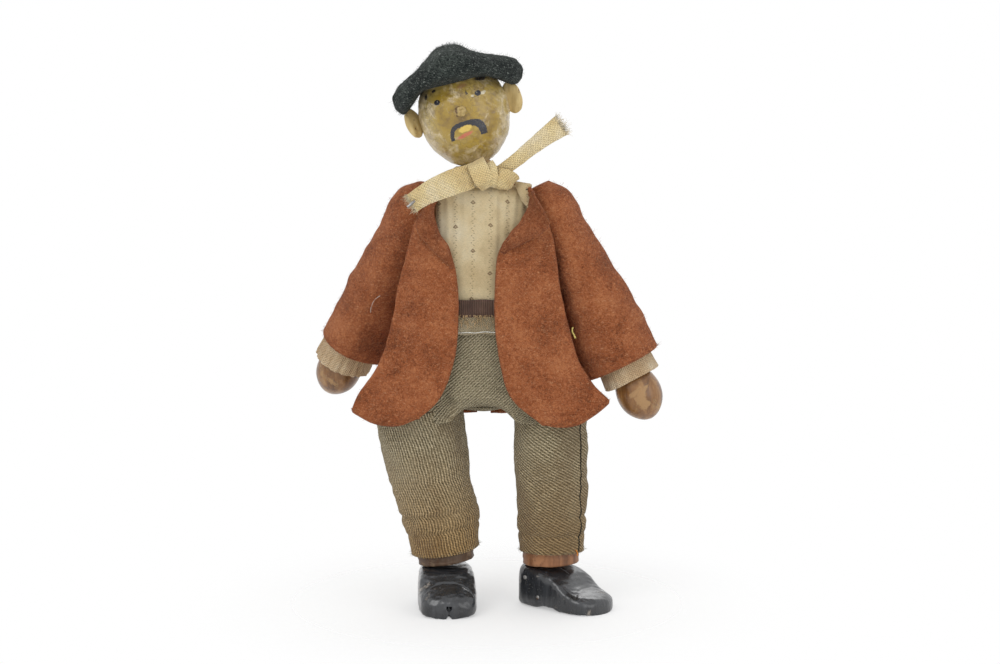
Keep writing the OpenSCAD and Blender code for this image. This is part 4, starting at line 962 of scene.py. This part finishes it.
def makeShirt():
    part = shirt
    s, u = grid(part["rows"], part["cols"])
    angle = np.radians(180 + (2 * u - 1) * curveAt(part["turns"], s))
    points = stack(body["x"] + part["wide"] * squared(np.sin(angle), part["power"]),
                   body["y"] + curveAt(part["deep"], s) * squared(np.cos(angle), part["power"]),
                   curveAt(part["high"], s))
    place = points[..., 0] - body["x"] - part["pleatAt"] - 0.5 * np.sin(s * 5)
    pleat = part["pleatHigh"] / (1 + np.exp(-(part["pleatWide"] / 2 - np.abs(place)) / 0.12))
    gathers = part["gathers"] * (1 - s) * np.sin(points[..., 0] * 2.1 + 2 * lumps(points, 30, 3))
    points = raised(points, pleat + (gathers + 0.16 * lumps(points, 9, 4)))
    show("shirtFront", clothMesh(points, part["thick"]), "shirt", "torso",
         ["shirt_body", "shirt_pleat"])
    part = collarEnd
    s, u = grid(part["rows"], part["cols"])
    upper, lower = (mixOf(*np.array(part[edge]), u[..., None]) for edge in ("upper", "lower"))
    points = mixOf(upper, lower, s[..., None]) + stack(0, -part["bow"] * swell(u) * swell(s * 0.8 + 0.2), 0)
    points = raised(points, 0.12 * lumps(points, 5, 6))
    show("collarEnd", clothMesh(points, part["thick"]), "shirt", "torso")
    a = np.linspace(0, 2 * math.pi, 21)
    ring = np.array(part["eyelet"]) + stack(np.cos(a), np.cos(a), np.sin(a)) * part["eyeletSize"]
    show("collarEyelet", threadMesh(ring[None], part["thread"]), "seamThread", "torso")


# Round a rounded rectangle, evenly spaced along its length, clockwise from the middle of the back
def planRing(part, share, more=0.0):
    wide, deep, radius = part["wide"] + more, part["deep"] + more, part["radius"]
    turn = np.linspace(0, 2 * math.pi, 721)
    x = np.sign(np.round(np.sin(turn), 9)) * (wide - radius) + radius * np.sin(turn)
    y = np.sign(np.round(np.cos(turn), 9)) * (deep - radius) + radius * np.cos(turn)
    length = np.concatenate([[0], np.cumsum(np.hypot(np.diff(x), np.diff(y)))])
    at = (share % 1) * length[-1]
    return np.interp(at, length, x) + body["x"], np.interp(at, length, y) + body["y"]


# Belt, the frayed band under it with its threads, and a white thread round the waist
belt = dict(rows=22, cols=260, wide=19.4, deep=15.0, radius=10.2, low=105.5, high=111.2, thick=1.1, flare=0.0)
frayBand = dict(rows=26, cols=260, wide=19.5, deep=14.9, radius=10.2, low=99.6, high=105.9, thick=0.7, flare=0.3)
frayThreads = dict(count=1500, more=0.5, top=105.6, fall=4.6, long=(0.7, 2.0), upTo=106.2, thick=0.1)
whiteThread = dict(wide=20.2, deep=15.45, radius=10.4, high=100.1, turns=320, thick=0.2)


def makeBelt():
    for name, part, finish, slot, replaces in (("beltBand", belt, "belt", "belt_cloth", ["belt"]),
                                               ("frayBand", frayBand, "fray", "trouser_twill", [])):
        s, turn = ringGrid(part["rows"], part["cols"])
        points = stack(*planRing(part, turn / 360), mixOf(part["high"], part["low"], s))
        points[..., 2] += 0.25 * lumps(points * [1, 1, 0], 14, 5)
        height = 0.18 * lumps(points * [1, 1, 0.3], 6, 6) + 0.05 * np.sin(turn * 2.9) + part["flare"] * s
        show(name, clothMesh(raised(points, height, True), part["thick"], True), finish, "torso", replaces)
    part = frayThreads
    random = np.random.default_rng(7)
    count = part["count"]
    x, y = planRing(frayBand, random.uniform(0, 1, count), part["more"])
    out = unitOf(np.stack([x - body["x"], y - body["y"], np.zeros(count)], axis=1))
    start = np.stack([x, y, part["top"] - part["fall"] * random.uniform(0, 1, count) ** 1.6], axis=1)
    step = np.linspace(0, 1, 4)[None, :, None]
    lean = random.normal(size=(count, 3)) * [0.8, 0.8, 0.4]
    bend = out[:, None] * (0.4 * np.sin(step * math.pi) + 0.3 * step)
    size = random.uniform(*part["long"], (count, 1, 1))
    paths = start[:, None] + (np.array([0, 0, 1.0]) * step + lean[:, None] * 0.35 * step + bend) * size
    paths[..., 2] = np.minimum(paths[..., 2], part["upTo"])
    show("frayThreads", threadMesh(paths, part["thick"]), "frayFibre", "torso")
    part = whiteThread
    at = np.linspace(0, 1, part["turns"] + 1)
    line = stack(*planRing(part, at), part["high"] + 0.15 * np.sin(at * 55) + 0.1 * np.sin(at * 130))
    show("waistThread", threadMesh(line[None], part["thick"]), "whiteThread", "torso")


# Trouser seat: a bag about the hips that droops to a rounded crotch between the legs
seat = dict(rows=90, cols=220, top=105.0, low=67.8, rise=5.4, wide=[1.6, 3.2, 7, 11.4, 14, 15.4, 16.4, 18],
            deep=[1.8, 1.7, 1.3, 1.1, 1.2, 1.5, 1.9, 2.4], power=0.78, gathers=0.3, crease=1.3, creaseAt=(-13.2, 76),
            turnIn=4.2, thick=0.6)

# The crotch is a gusset across the bag's bottom: its height goes by |u|^2.2 across and |2s - 1|^3 along
crotch = dict(rows=60, cols=50, half=9.0, low=70.6, deep=9.6, thick=-0.6)


def makeSeat():
    part = seat
    s, turn = ringGrid(part["rows"], part["cols"])
    points = aroundBody(part, s, mixOf(part["top"], part["low"], s), turn, part["power"])
    x, y, z = points[..., 0], points[..., 1], points[..., 2]
    gathers = part["gathers"] * (1 - s) ** 2 * np.sin(np.radians(turn) * 34)
    folds = 0.55 * swell(s) * lumps(points * [1, 0.7, 0.5], 15, 8) + 0.3 * swell(s) * lumps(points, 7, 9)
    across = (x - body["x"]) / 10
    up = z - part["creaseAt"][1]
    crease = part["crease"] * bellAt(x - part["creaseAt"][0] + up * 0.75, 0.9) * bellAt(up, 4.5)
    points = raised(points, 0.25 + gathers + folds - np.where(y < body["y"], crease, 0), True)
    # between the legs the lower edge is a rounded bottom, drawn up and turned in where the crotch is sewn
    hang = np.exp(-(across / 1.08) ** 6) * np.clip((s - 0.55) / 0.45, 0, 1) ** 1.5
    points[..., 2] += (part["rise"] - 1.6 * across ** 2) * hang
    points[..., 1] -= np.sign(points[..., 1] - body["y"]) * part["turnIn"] * hang ** 3
    show("trouserSeat", clothMesh(points, part["thick"], True), "seatTwill", "torso", ["trouser_seat"])
    part = crotch
    s, u = grid(part["rows"], part["cols"])
    u = 2 * u - 1
    y = mixOf(-part["deep"], part["deep"], s) * (1 - 0.16 * u ** 2)
    z = part["low"] + 0.8 * np.abs(u) ** 2.2 + 1.8 * np.abs(2 * s - 1) ** 3
    points = stack(body["x"] + u * part["half"], body["y"] + y, z)
    points = raised(points, 0.35 * lumps(points, 9, 10))
    show("trouserCrotch", clothMesh(points, part["thick"]), "seatTwill", "torso", ["trouser_crotch"])


# Trouser legs: tubes that narrow to the ankle, with cross creases above the hem and a side seam on the left one
trouser = dict(rows=130, cols=150, top=7.0, end=58.3, radius=10.2, thick=0.6, finish=("twillWorn", "twill"),
               out=([7, 6.6, 4.9, 3.4, 1.6], [4, 3.8, 3.2, 2.6, 1.4]),
               near=([3.0, 3.0, 2.4, 3.6, 2.0], [0.8, 1.6, 0.9, 1.2, 0.6]),
               deep=([3.4, 3.2, 2.8, 2.2, 1.4], [3, 2.8, 2.4, 1.8, 1.2]), crease=(0.72, 0.74), seamTurn=38.0,
               seamHigh=0.12, seamThick=0.24, fibres=500, hemFibres=200, fibre=0.03)

# The leg's turned end ring shows under each hem
ankleRing = dict(rows=24, cols=90, radius=10.0, high=57.4, low=62.6, finish=("darkBrown", "redBrown"))


def makeTrousers():
    for k, side in enumerate(sides):
        part = trouser
        s, turn = ringGrid(part["rows"], part["cols"])
        a = -np.radians(turn)
        z = -mixOf(part["top"], part["end"], s)
        down = np.clip((-z - 14) / 42.5, 0, 1)
        out, near, deep = (part["radius"] + curveAt(part[key][k], down) for key in ("out", "near", "deep"))
        points = tubePoint(k, out, near, deep, a, z)
        points[..., 2] -= 0.7 * np.sin(a + np.radians(40 * k)) * s ** 4
        below = s - part["crease"][k]
        bandOne = bellAt(below - 0.012 * np.sin(a + 1 + k), 0.02)
        bandTwo = bellAt(below - 0.13 - 0.015 * np.cos(a + k), 0.018)
        bandThree = bellAt(s - 0.5 - 0.02 * np.sin(a * 2 + k), 0.03) * (np.sin(a + 2 * k) > -0.2)
        folds = -0.8 * bandOne * (0.6 + 0.4 * np.sin(a + 0.7)) - 0.5 * bandTwo - 0.25 * bandThree
        folds = folds + 0.34 * lumps(points * [0.8, 0.8, 0.6], 11, 111 + k) + 0.16 * lumps(points, 4.5, 113 + k)
        seam = 0.3 * k * bellAt((part["seamTurn"] - turn + 180) % 360 - 180, 3)
        outer = inLeg(raised(points, 0.3 + folds * np.minimum(swell(s * 0.97 + 0.02) * 2.2, 1) + seam, True), k)
        name, leg = "trouserLeg" + side.title(), "leg_" + side
        show(name, clothMesh(outer, part["thick"], True), part["finish"][k], leg,
             ["trouser_leg_" + side])
        if k == 1:
            column = int(part["seamTurn"] / 360 * part["cols"])
            line = raised(outer, np.full(outer.shape[:2], part["seamHigh"]), True)[2:-1, column]
            show("sideSeam", threadMesh(line[None], part["seamThick"]), "seamThread", leg)
        paths = np.concatenate([fuzz(outer, True, part["hemFibres"], 0.9, 115 + k, rows=(0.995, 1)),
                                fuzz(outer, True, part["fibres"], 0.6, 117 + k)])
        threads = threadMesh(paths, part["fibre"])
        part = ankleRing
        s, a = angleGrid(part["rows"], part["cols"])
        b = np.clip(s * 3 - 1, 0, 1)
        radius = part["radius"] * np.minimum(1, np.minimum(s, 1 - s) * 3 + 0.02) ** 0.4
        radius = radius + 0.15 * np.sin(s * 40) * swell(b)
        points = stack(radius * np.cos(a), radius * np.sin(a), -mixOf(part["high"], part["low"], b))
        points = inLeg(raised(points, 0.08 * lumps(points, 5, 119 + k), True), k)
        show("ankleRing" + side.title(), closedMesh(points), part["finish"][k], leg)
        show(name + "Threads", threads, "twillFibre", leg)


# Cuffs: cotton gathered round the hand on the right arm, and laid flat on the left one
cuff = dict(rows=50, cols=200, low=(68.9, 66.6), length=13.0, hand=8.0, wide=[1.2, 1.6, 2.1], deep=[0.3, 0.5, 0.9],
            gather=(0.42, 0.12), thick=0.6)


def makeCuffs():
    part = cuff
    for k, side in enumerate(sides):
        s, a = angleGrid(part["rows"], part["cols"])
        pleats = np.sin(a * 17 + 1.5 * np.sin(a * 3)) * 0.6 + np.sin(a * 29) * 0.4
        wide, deep = (part["hand"] + curveAt(part[key], s) for key in ("wide", "deep"))
        z = -mixOf(part["low"][k] - part["length"], part["low"][k], s) - 0.35 * np.sin(a * 2 + k) * s
        points = tubePoint(k, wide, wide, deep, a, z)
        height = 0.25 + part["gather"][k] * pleats * (0.5 + 0.5 * s) + 0.12 * lumps(points, 6, 121 + k)
        show("cuff" + side.title(), clothMesh(inArm(raised(points, height, True), k), part["thick"], True), "cuff",
             "arm_" + side, ["cuff_" + side])


# Neckerchief: a rolled loop of tape, a knot of wrapped turns, a second bight and two frayed tails
kerchief = dict(
    loopRows=44, loopCols=180, loopHigh=3.0, loopLow=-3.6, loopOut=[1.8, 4.4, 5.9, 5.9, 5.0], loopThick=0.9,
    neckRadius=6.5, knotRows=46, knotCols=72,
    knots=dict(neckKnot=((4.3, 2.5, 4.0), (1.2, -15.6, 1.2), 2, 2.6, "neckerchief_knot"),
               neckBight=((3.2, 2.0, 2.9), (8.7, -14.5, -1.4), 5, 1.6, "neckerchief_bow")),
    tape=7.5, tapeThick=0.6, tailRows=90, tailCols=26, bow=0.7, wrapRows=50, wrapBow=0.9,
    tails=([[-3.0, -16, 0.6], [-9.5, -18.4, -1.4], [-17, -19.4, -4.6], [-23.5, -18.6, -8.6]],
           [[7.0, -14.6, 1.8], [13.2, -15.8, 6.6], [20.6, -15.2, 12.6], [28.2, -13.6, 18.0]]),
    widths=([1.1, 1.16, 1.0, 0.86], [0.62, 0.64, 0.74, 1.0]), frayed=260, frayLong=(1.9, 2.6), frayThick=0.06,
    wraps=(([[-1.6, -14.6, 6.0], [-1.0, -17.6, 4.8], [0.4, -18.7, 1.8], [2.0, -17.9, -1.2], [3.2, -14.8, -3.4]],
            [0.78, 0.86, 0.9, 0.86, 0.7]),
           ([[3.2, -15.2, 5.4], [4.3, -17.2, 3.6], [4.9, -17.9, 0.8], [4.9, -16.8, -1.8], [4.6, -14.4, -3.4]],
            [0.42, 0.44, 0.46, 0.44, 0.4]),
           ([[5.4, -15.6, 0.4], [7.2, -17.1, 0.2], [9.4, -17.0, -0.4], [11.2, -15.4, -1.2], [11.9, -13.0, -2.0]],
            [0.66, 0.84, 0.9, 0.8, 0.6])))


# A knot is a ball squared by the power 0.7, with turns of tape as ribs |sin(ribs * b + 1.4 cos a)| on it
def knotGrid(size, place, seed, ribs):
    s, a = angleGrid(kerchief["knotRows"], kerchief["knotCols"])
    b = np.pi * mixOf(0.02, 0.98, s)
    full = squared(np.sin(b), 0.7)
    unit = stack(full * np.cos(a), full * np.sin(a), squared(np.cos(b), 0.7))
    wrap = 0.05 * np.abs(np.sin(ribs * b + 1.4 * np.cos(a) + seed)) + 0.05 * lumps(unit, 1.1, seed)
    return inNeck(unit * np.array(size) * (0.94 + wrap)[..., None] + place)


# A tape along guide points: each row runs across the path in the front plane, bowed forward by the cosine of
# its place across
def tapeGrid(path, widths, rows, bow):
    s, v = grid(rows, kerchief["tailCols"])
    v = v - 0.5
    ahead = curveAt(path, s + 0.03) - curveAt(path, s - 0.03)
    across = unitOf(stack(ahead[..., 2], 0, -ahead[..., 0]))
    points = curveAt(path, s) + across * (kerchief["tape"] * curveAt(widths, s) * v)[..., None]
    points[..., 1] -= bow * np.cos(np.pi * v) + 0.3 * np.sin(s * 8 + v * 2) * swell(s)
    return inNeck(points)


def makeNeckerchief():
    part = kerchief
    s, a = angleGrid(part["loopRows"], part["loopCols"])
    radius = part["neckRadius"] + curveAt(part["loopOut"], s)
    tuck = 0.35 * np.sin(s * 17 + 1.5 * np.sin(a * 2)) * swell(s)
    points = stack(radius * np.cos(a), radius * np.sin(a), mixOf(part["loopHigh"], part["loopLow"], s))
    points = inNeck(raised(points, tuck + 0.3 * lumps(points, 6, 131), True))
    show("neckLoop", clothMesh(points, part["loopThick"], True), "tape", "torso", ["neckerchief_loop"])
    for name, (size, place, seed, ribs, node) in part["knots"].items():
        show(name, closedMesh(knotGrid(size, place, seed, ribs)), "tape", "torso", [node])
    for k, (path, widths) in enumerate(part["wraps"]):
        points = tapeGrid(path, widths, part["wrapRows"], part["wrapBow"])
        points = raised(points, 0.12 * lumps(points, 4, 147 + k))
        show("neckWrap%d" % k, clothMesh(points, part["tapeThick"]), "tape", "torso")
    for k, side in enumerate(sides):
        points = tapeGrid(part["tails"][k], part["widths"][k], part["tailRows"], part["bow"])
        points = raised(points, 0.18 * lumps(points, 5, 133 + k))
        name = "tapeTail" + side.title()
        show(name, clothMesh(points, part["tapeThick"]), "tape", "torso", ["neckerchief_tail_" + side])
        # frayed end: threads that carry on past the last row, fanned and curled
        random = np.random.default_rng(137 + k)
        count = part["frayed"]
        at = random.integers(0, part["tailCols"], count)
        end = points[-1, at][:, None]
        along = unitOf(end - points[-6, at][:, None])
        step = np.linspace(0, 1, 4)[None, :, None]
        lean = random.normal(size=(count, 3)) * [0.5, 0.35, 0.5]
        size = random.uniform(0.3, 1, (count, 1, 1)) * part["frayLong"][k]
        threads = end - along * 0.6 + (along * step + lean[:, None] * step ** 2 * 0.8) * size
        paths = np.concatenate([threads, fuzz(points, False, count, 0.6, 139 + k)])
        show(name + "Fray", threadMesh(paths, part["frayThick"]), "tapeThread", "torso")


# Beret: a felt disc over its brim. A ring's radius and height are read down two curves, and the whole disc is
# bent down to each side by an amount read across it, so that it peaks in the middle and droops over both ears.
beret = dict(
    rows=90, cols=150, wide=(23.4, 22.2), deep=21.6, high=13.0, brim=40.0, insideRows=14, inside=0.3,
    outward=[0.05, 0.4, 0.72, 0.93, 1, 0.92, 0.66], up=[1, 0.98, 0.92, 0.76, 0.42, 0.13, 0],
    bend=([0, 0.8, 3.4, 5.9, 7.0, 7.3, 7.0], [0, 0.6, 3.4, 5.7, 6.6, 6.8, 6.6]),
    brimBend=([0, 0, 0, 0.9, 4.6, 8.8, 10.2], [0, 0, 0, 0.8, 3.2, 6.6, 7.6]), middle=-1.0,
    lumps=((0.5, 13), (0.3, 6), (0.12, 2.6)), fibres=3000, fibre=0.028, stalk=(0.7, 0.2, 0.1))
head = dict(rows=170, cols=240, pole=0.005, wide=16.0, tall=18.5, middle=22.0, egg=0.05)


# The head's radius at an angle up from its middle: wide * cos * (1 + egg * sin)
def eggRadius(a):
    return head["wide"] * np.cos(a) * (1 + head["egg"] * np.sin(a))


def eggPoint(b, a, more=0.0):
    radius = eggRadius(b) + more
    return stack(radius * np.cos(a), radius * np.sin(a), head["middle"] + (head["tall"] + more) * np.sin(b))


def makeBeret():
    part = beret
    s, a = angleGrid(part["rows"], part["cols"])
    low = head["middle"] + head["tall"] * math.sin(math.radians(part["brim"]))
    lobe = 1 + 0.03 * np.cos(3 * a + math.radians(40)) + 0.02 * np.cos(5 * a)
    x = np.where(np.cos(a) < 0, *part["wide"]) * curveAt(part["outward"], s) * lobe * np.cos(a)
    y = part["deep"] * curveAt(part["outward"], s) * lobe * np.sin(a)
    far = np.clip(np.abs(x - part["middle"]) / 24, 0, 1)
    drop, dropBrim = (np.where(x < part["middle"], *(curveAt(curve, far) for curve in part[key]))
                      for key in ("bend", "brimBend"))
    edge = np.clip((s - 0.5) / 0.4, 0, 1)
    points = stack(x, y, low + part["high"] * curveAt(part["up"], s) - mixOf(drop, dropBrim, edge))
    bumps = sum(high * lumps(points, size, 141 + index) for index, (high, size) in enumerate(part["lumps"]))
    points = raised(points, bumps * swell(s * 0.9 + 0.05), True)
    s, a = angleGrid(part["insideRows"], part["cols"])
    inside = eggPoint(np.radians(mixOf(part["brim"], 88, s)), a, part["inside"])
    show("beretFelt", closedMesh(inHead(np.concatenate([points, inside]))), "beret", "head", ["beret"])
    paths = fuzz(inHead(points), True, part["fibres"], 0.8, 144, rows=(0.03, 0.98))
    show("beretFuzz", threadMesh(paths, part["fibre"]), "beretFibre", "head")
    random = np.random.default_rng(145)
    tall, spread, thick = part["stalk"]
    top = inHead(np.array([[part["middle"], 0, low + part["high"] - 0.4]]))
    ways = np.array([0.0, 0, tall]) + random.normal(size=(8, 1, 3)) * spread
    paths = top + np.linspace(0, 1, 5)[None, :, None] * ways
    show("beretStalk", threadMesh(paths, thick), "beret", "head")


# Head: an egg turned about its axis and dented a little, with the painted face kept in a flat front view
def makeHead():
    b, a = ballGrid(head)
    points = eggPoint(b, a)
    points = raised(points, 0.16 * lumps(points, 9, 151) + 0.05 * lumps(points, 2.2, 152), True)
    mesh = closedMesh(inHead(points))
    place = np.empty(len(mesh.vertices) * 3)
    mesh.vertices.foreach_get("co", place)
    local = (place.reshape(-1, 3) / mm - [neck["x"], body["y"], neck["z"]]) @ turnAbout("y", -neck["lean"])
    corner = np.empty(len(mesh.loops), int)
    mesh.loops.foreach_get("vertex_index", corner)
    # the back of the head reads its paint 100 mm away, where no mark is
    flat = np.where(local[:, 1:2] < -1, local[:, [0, 2]], local[:, [0, 2]] + [100, 0])
    mesh.uv_layers["flat"].data.foreach_set("uv", flat[corner].astype(np.float32).ravel())
    show("paintedHead", mesh, "face", "head", ["head"])


# Nose: a small chipped dowel end. Ears: flat ovals glued on, cupped a little, leaning back.
nose = dict(rows=30, cols=48, pole=0.01, at=(-0.9, 24.0), radius=2.2, tall=0.82, out=0.95, sunk=0.9)
ear = dict(rows=40, cols=64, pole=0.01, across=(3.3, 3.5), tall=(5.4, 5.8), thick=2.4, up=(1.3, 1.9),
           out=(2.1, 1.7), turn=(42.0, 20.0), lean=(-9.0, -4.0))


# An ear's disc: cos^0.55 keeps its edge full, and sin^0.8 its two faces flat
def earPoint(k):
    b, a = ballGrid(ear)
    full = squared(np.cos(b), 0.55)
    points = stack(ear["across"][k] * full * np.cos(a), ear["thick"] / 2 * squared(np.sin(b), 0.8),
                   ear["tall"][k] * full * np.sin(a))
    return points + 0.12 * lumps(points, 3.2, 163 + k)[..., None]


def makeFaceParts():
    part = nose
    b, a = ballGrid(part)
    unit = stack(np.cos(b) * np.cos(a), np.cos(b) * np.sin(a), np.sin(b))
    points = unit * [part["radius"], part["out"] + part["sunk"], part["radius"] * part["tall"]]
    points = points * (1 + 0.1 * lumps(unit, 0.9, 161) + 0.05 * lumps(unit, 0.35, 162))[..., None]
    x, z = part["at"]
    y = -math.sqrt(float(eggRadius(math.asin((z - head["middle"]) / head["tall"]))) ** 2 - x ** 2)
    points = points + [x, y - part["out"] + part["sunk"], z]
    show("noseDowel", closedMesh(inHead(points)), "noseWood", "head", ["nose"])
    part = ear
    for k, side in enumerate(sides):
        points = earPoint(k) @ turnAbout("z", -sideOf(k) * part["turn"][k]).T @ turnAbout("y", part["lean"][k]).T
        points = points + [sideOf(k) * (head["wide"] + part["out"][k]), 0, head["middle"] + part["up"][k]]
        show("ear" + side.title(), closedMesh(inHead(points)[:, ::-1]), "tan", "head", ["ear_" + side])


# Shoes: cross sections carried from heel to toe, each a squared oval with its own width, height and foot. The toe
# cap stands proud in front of a grooved arc, whose place along the shoe is capLine + capBend * (x / 10)^2.
shoe = dict(rows=150, cols=130, long=35.0, heel=10.4, wide=20.6, high=14.7,
            along=[0.0, 0.03, 0.1, 0.3, 0.5, 0.62, 0.7, 0.78, 0.86, 0.93, 0.98, 1.0],
            half=[0.4, 0.62, 0.86, 0.97, 1.0, 1.0, 0.99, 0.97, 0.92, 0.78, 0.52, 0.2],
            top=([0.92, 0.98, 1, 1, 1, 0.95, 0.83, 0.7, 0.6, 0.5, 0.38, 0.26],
                 [0.92, 0.98, 1, 0.98, 0.88, 0.72, 0.59, 0.5, 0.44, 0.39, 0.33, 0.24]),
            power=[0.6, 0.46, 0.36, 0.3, 0.3, 0.34, 0.46, 0.56, 0.66, 0.76, 0.86, 0.9], lean=0.06, arch=1.1,
            archAt=(0.47, 0.13), capLine=0.75, capBend=0.13, capStep=(0.45, 0.1), groove=(0.5, 0.06),
            notchHalf=0.8, notchHigh=4.6, notchDeep=(4.5, 0.0))


def makeShoes():
    part = shoe
    for k, side in enumerate(sides):
        s, turn = ringGrid(part["rows"], part["cols"])
        a = np.radians(turn)
        place = curveAt(part["along"], s)
        half = part["wide"] / 2 * np.clip(curveAt(part["half"], s), 0.1, 1)
        high = part["high"] * np.clip(curveAt(part["top"][k], s), 0.1, 1.01)
        power = curveAt(part["power"], s)
        z = high / 2 + high / 2 * squared(np.sin(a), np.where(np.sin(a) > 0, power, 0.22))
        x = half * squared(np.cos(a), power) * (1 - part["lean"] * np.clip(z / part["high"], 0, 1) ** 2)
        middle, width = part["archAt"]
        z = z + part["arch"] * np.exp(-((place - middle) / width) ** 4) * np.clip(1 - z / 3.0, 0, 1)
        ahead = place - part["capLine"] - part["capBend"] * (x / 10) ** 2
        cap = part["capStep"][k] / (1 + np.exp(-ahead / 0.008)) - part["groove"][k] * bellAt(ahead, 0.012)
        points = stack(x, part["heel"] - place * part["long"], z)
        dents = 0.1 * lumps(points, 7, 171 + k) + 0.05 * lumps(points, 2.5, 173 + k)
        points = raised(points, cap * np.clip(z / 2, 0, 1) + dents, True)
        points[..., 2] = np.maximum(points[..., 2], 0)
        notch = np.exp(-(points[..., 0] / part["notchHalf"]) ** 4) * (place > 0.8)
        points[..., 1] += notch * part["notchDeep"][k] * np.clip(1 - points[..., 2] / part["notchHigh"], 0, 1) ** 0.3
        show("shoe" + side.title(), closedMesh(onSole(points, k)), "black", "foot_" + side,
             ["shoe_" + side])


# Nail heads along the left shoe's outer side
nails = dict(rows=10, cols=20, pole=0.02, radius=0.75, high=0.35,
             places=((9.4, 4.0, 10.6), (9.7, -4.6, 8.3), (10.1, -2.6, 4.4)))


def makeNails():
    for index, place in enumerate(nails["places"]):
        b, a = ballGrid(nails)
        points = stack(nails["high"] * np.sin(b), nails["radius"] * np.cos(b) * np.sin(a),
                       nails["radius"] * np.cos(b) * np.cos(a)) + place
        show("nail%d" % index, closedMesh(onSole(points * [-1, 1, 1], 1)), "steel", "foot_left")


# Loose threads that cling to the clothes: guide points, radius, body and slot
looseThreads = dict(
    yellowThread=([[30.2, -16.9, 101.5], [30.0, -17.5, 100.2], [30.6, -17.6, 98.9], [31.2, -17.2, 97.6]], 0.38,
                  "yellowThread", "torso", "coat_felt"),
    orangeThread=([[31.6, -13.4, 21.4], [32.2, -13.6, 20.4], [32.1, -13.5, 19.2]], 0.3, "orangeThread", "leg_left",
                  "trouser_twill"),
    strayHair=([[-37, -19.9, 113], [-39, -20.9, 111.5], [-40.2, -20.9, 109], [-40.4, -20.2, 107]], 0.06,
               "whiteThread", "arm_right", "coat_felt"))


def makeThreads():
    for name, (points, radius, finish, rides, slot) in looseThreads.items():
        path = curveAt(points, np.linspace(0, 1, 40))
        show(name, threadMesh(path[None], radius), finish, rides)


# Turned wood, elastic and pins come straight from the construction model, with their own finishes
woodFinishes = dict(brown=("arm_", "leg_"), steel=("shoulder_pin", "hip_pin", "neckerchief_pin"),
                    elastic=("shoulder_cord", "hip_cord", "neck_cord", "ankle_cord"), bareWood=("torso", "neck_ball"))


def makeWood():
    for finish, starts in woodFinishes.items():
        for mesh in (node.data for name, node in nodes.items() if name.startswith(starts)):
            mesh.materials.clear()
            mesh.materials.append(made[finish])
            mesh.polygons.foreach_set("use_smooth", np.zeros(len(mesh.polygons), bool))


makeCamera(cameraSetup)
makeStudio(light)
makeFloor(stageLook)
print("stage: studio")
made.update(makeMaterials())
print("stage: materials")
makeCoatFronts()
makeLapels()
makeCoatBack()
makeSleeves()
print("stage: coat")
makeShirt()
makeBelt()
makeSeat()
makeTrousers()
makeCuffs()
makeNeckerchief()
print("stage: clothes")
makeBeret()
makeHead()
makeFaceParts()
print("stage: head")
makeShoes()
makeNails()
makeThreads()
makeWood()
print("stage: wood")
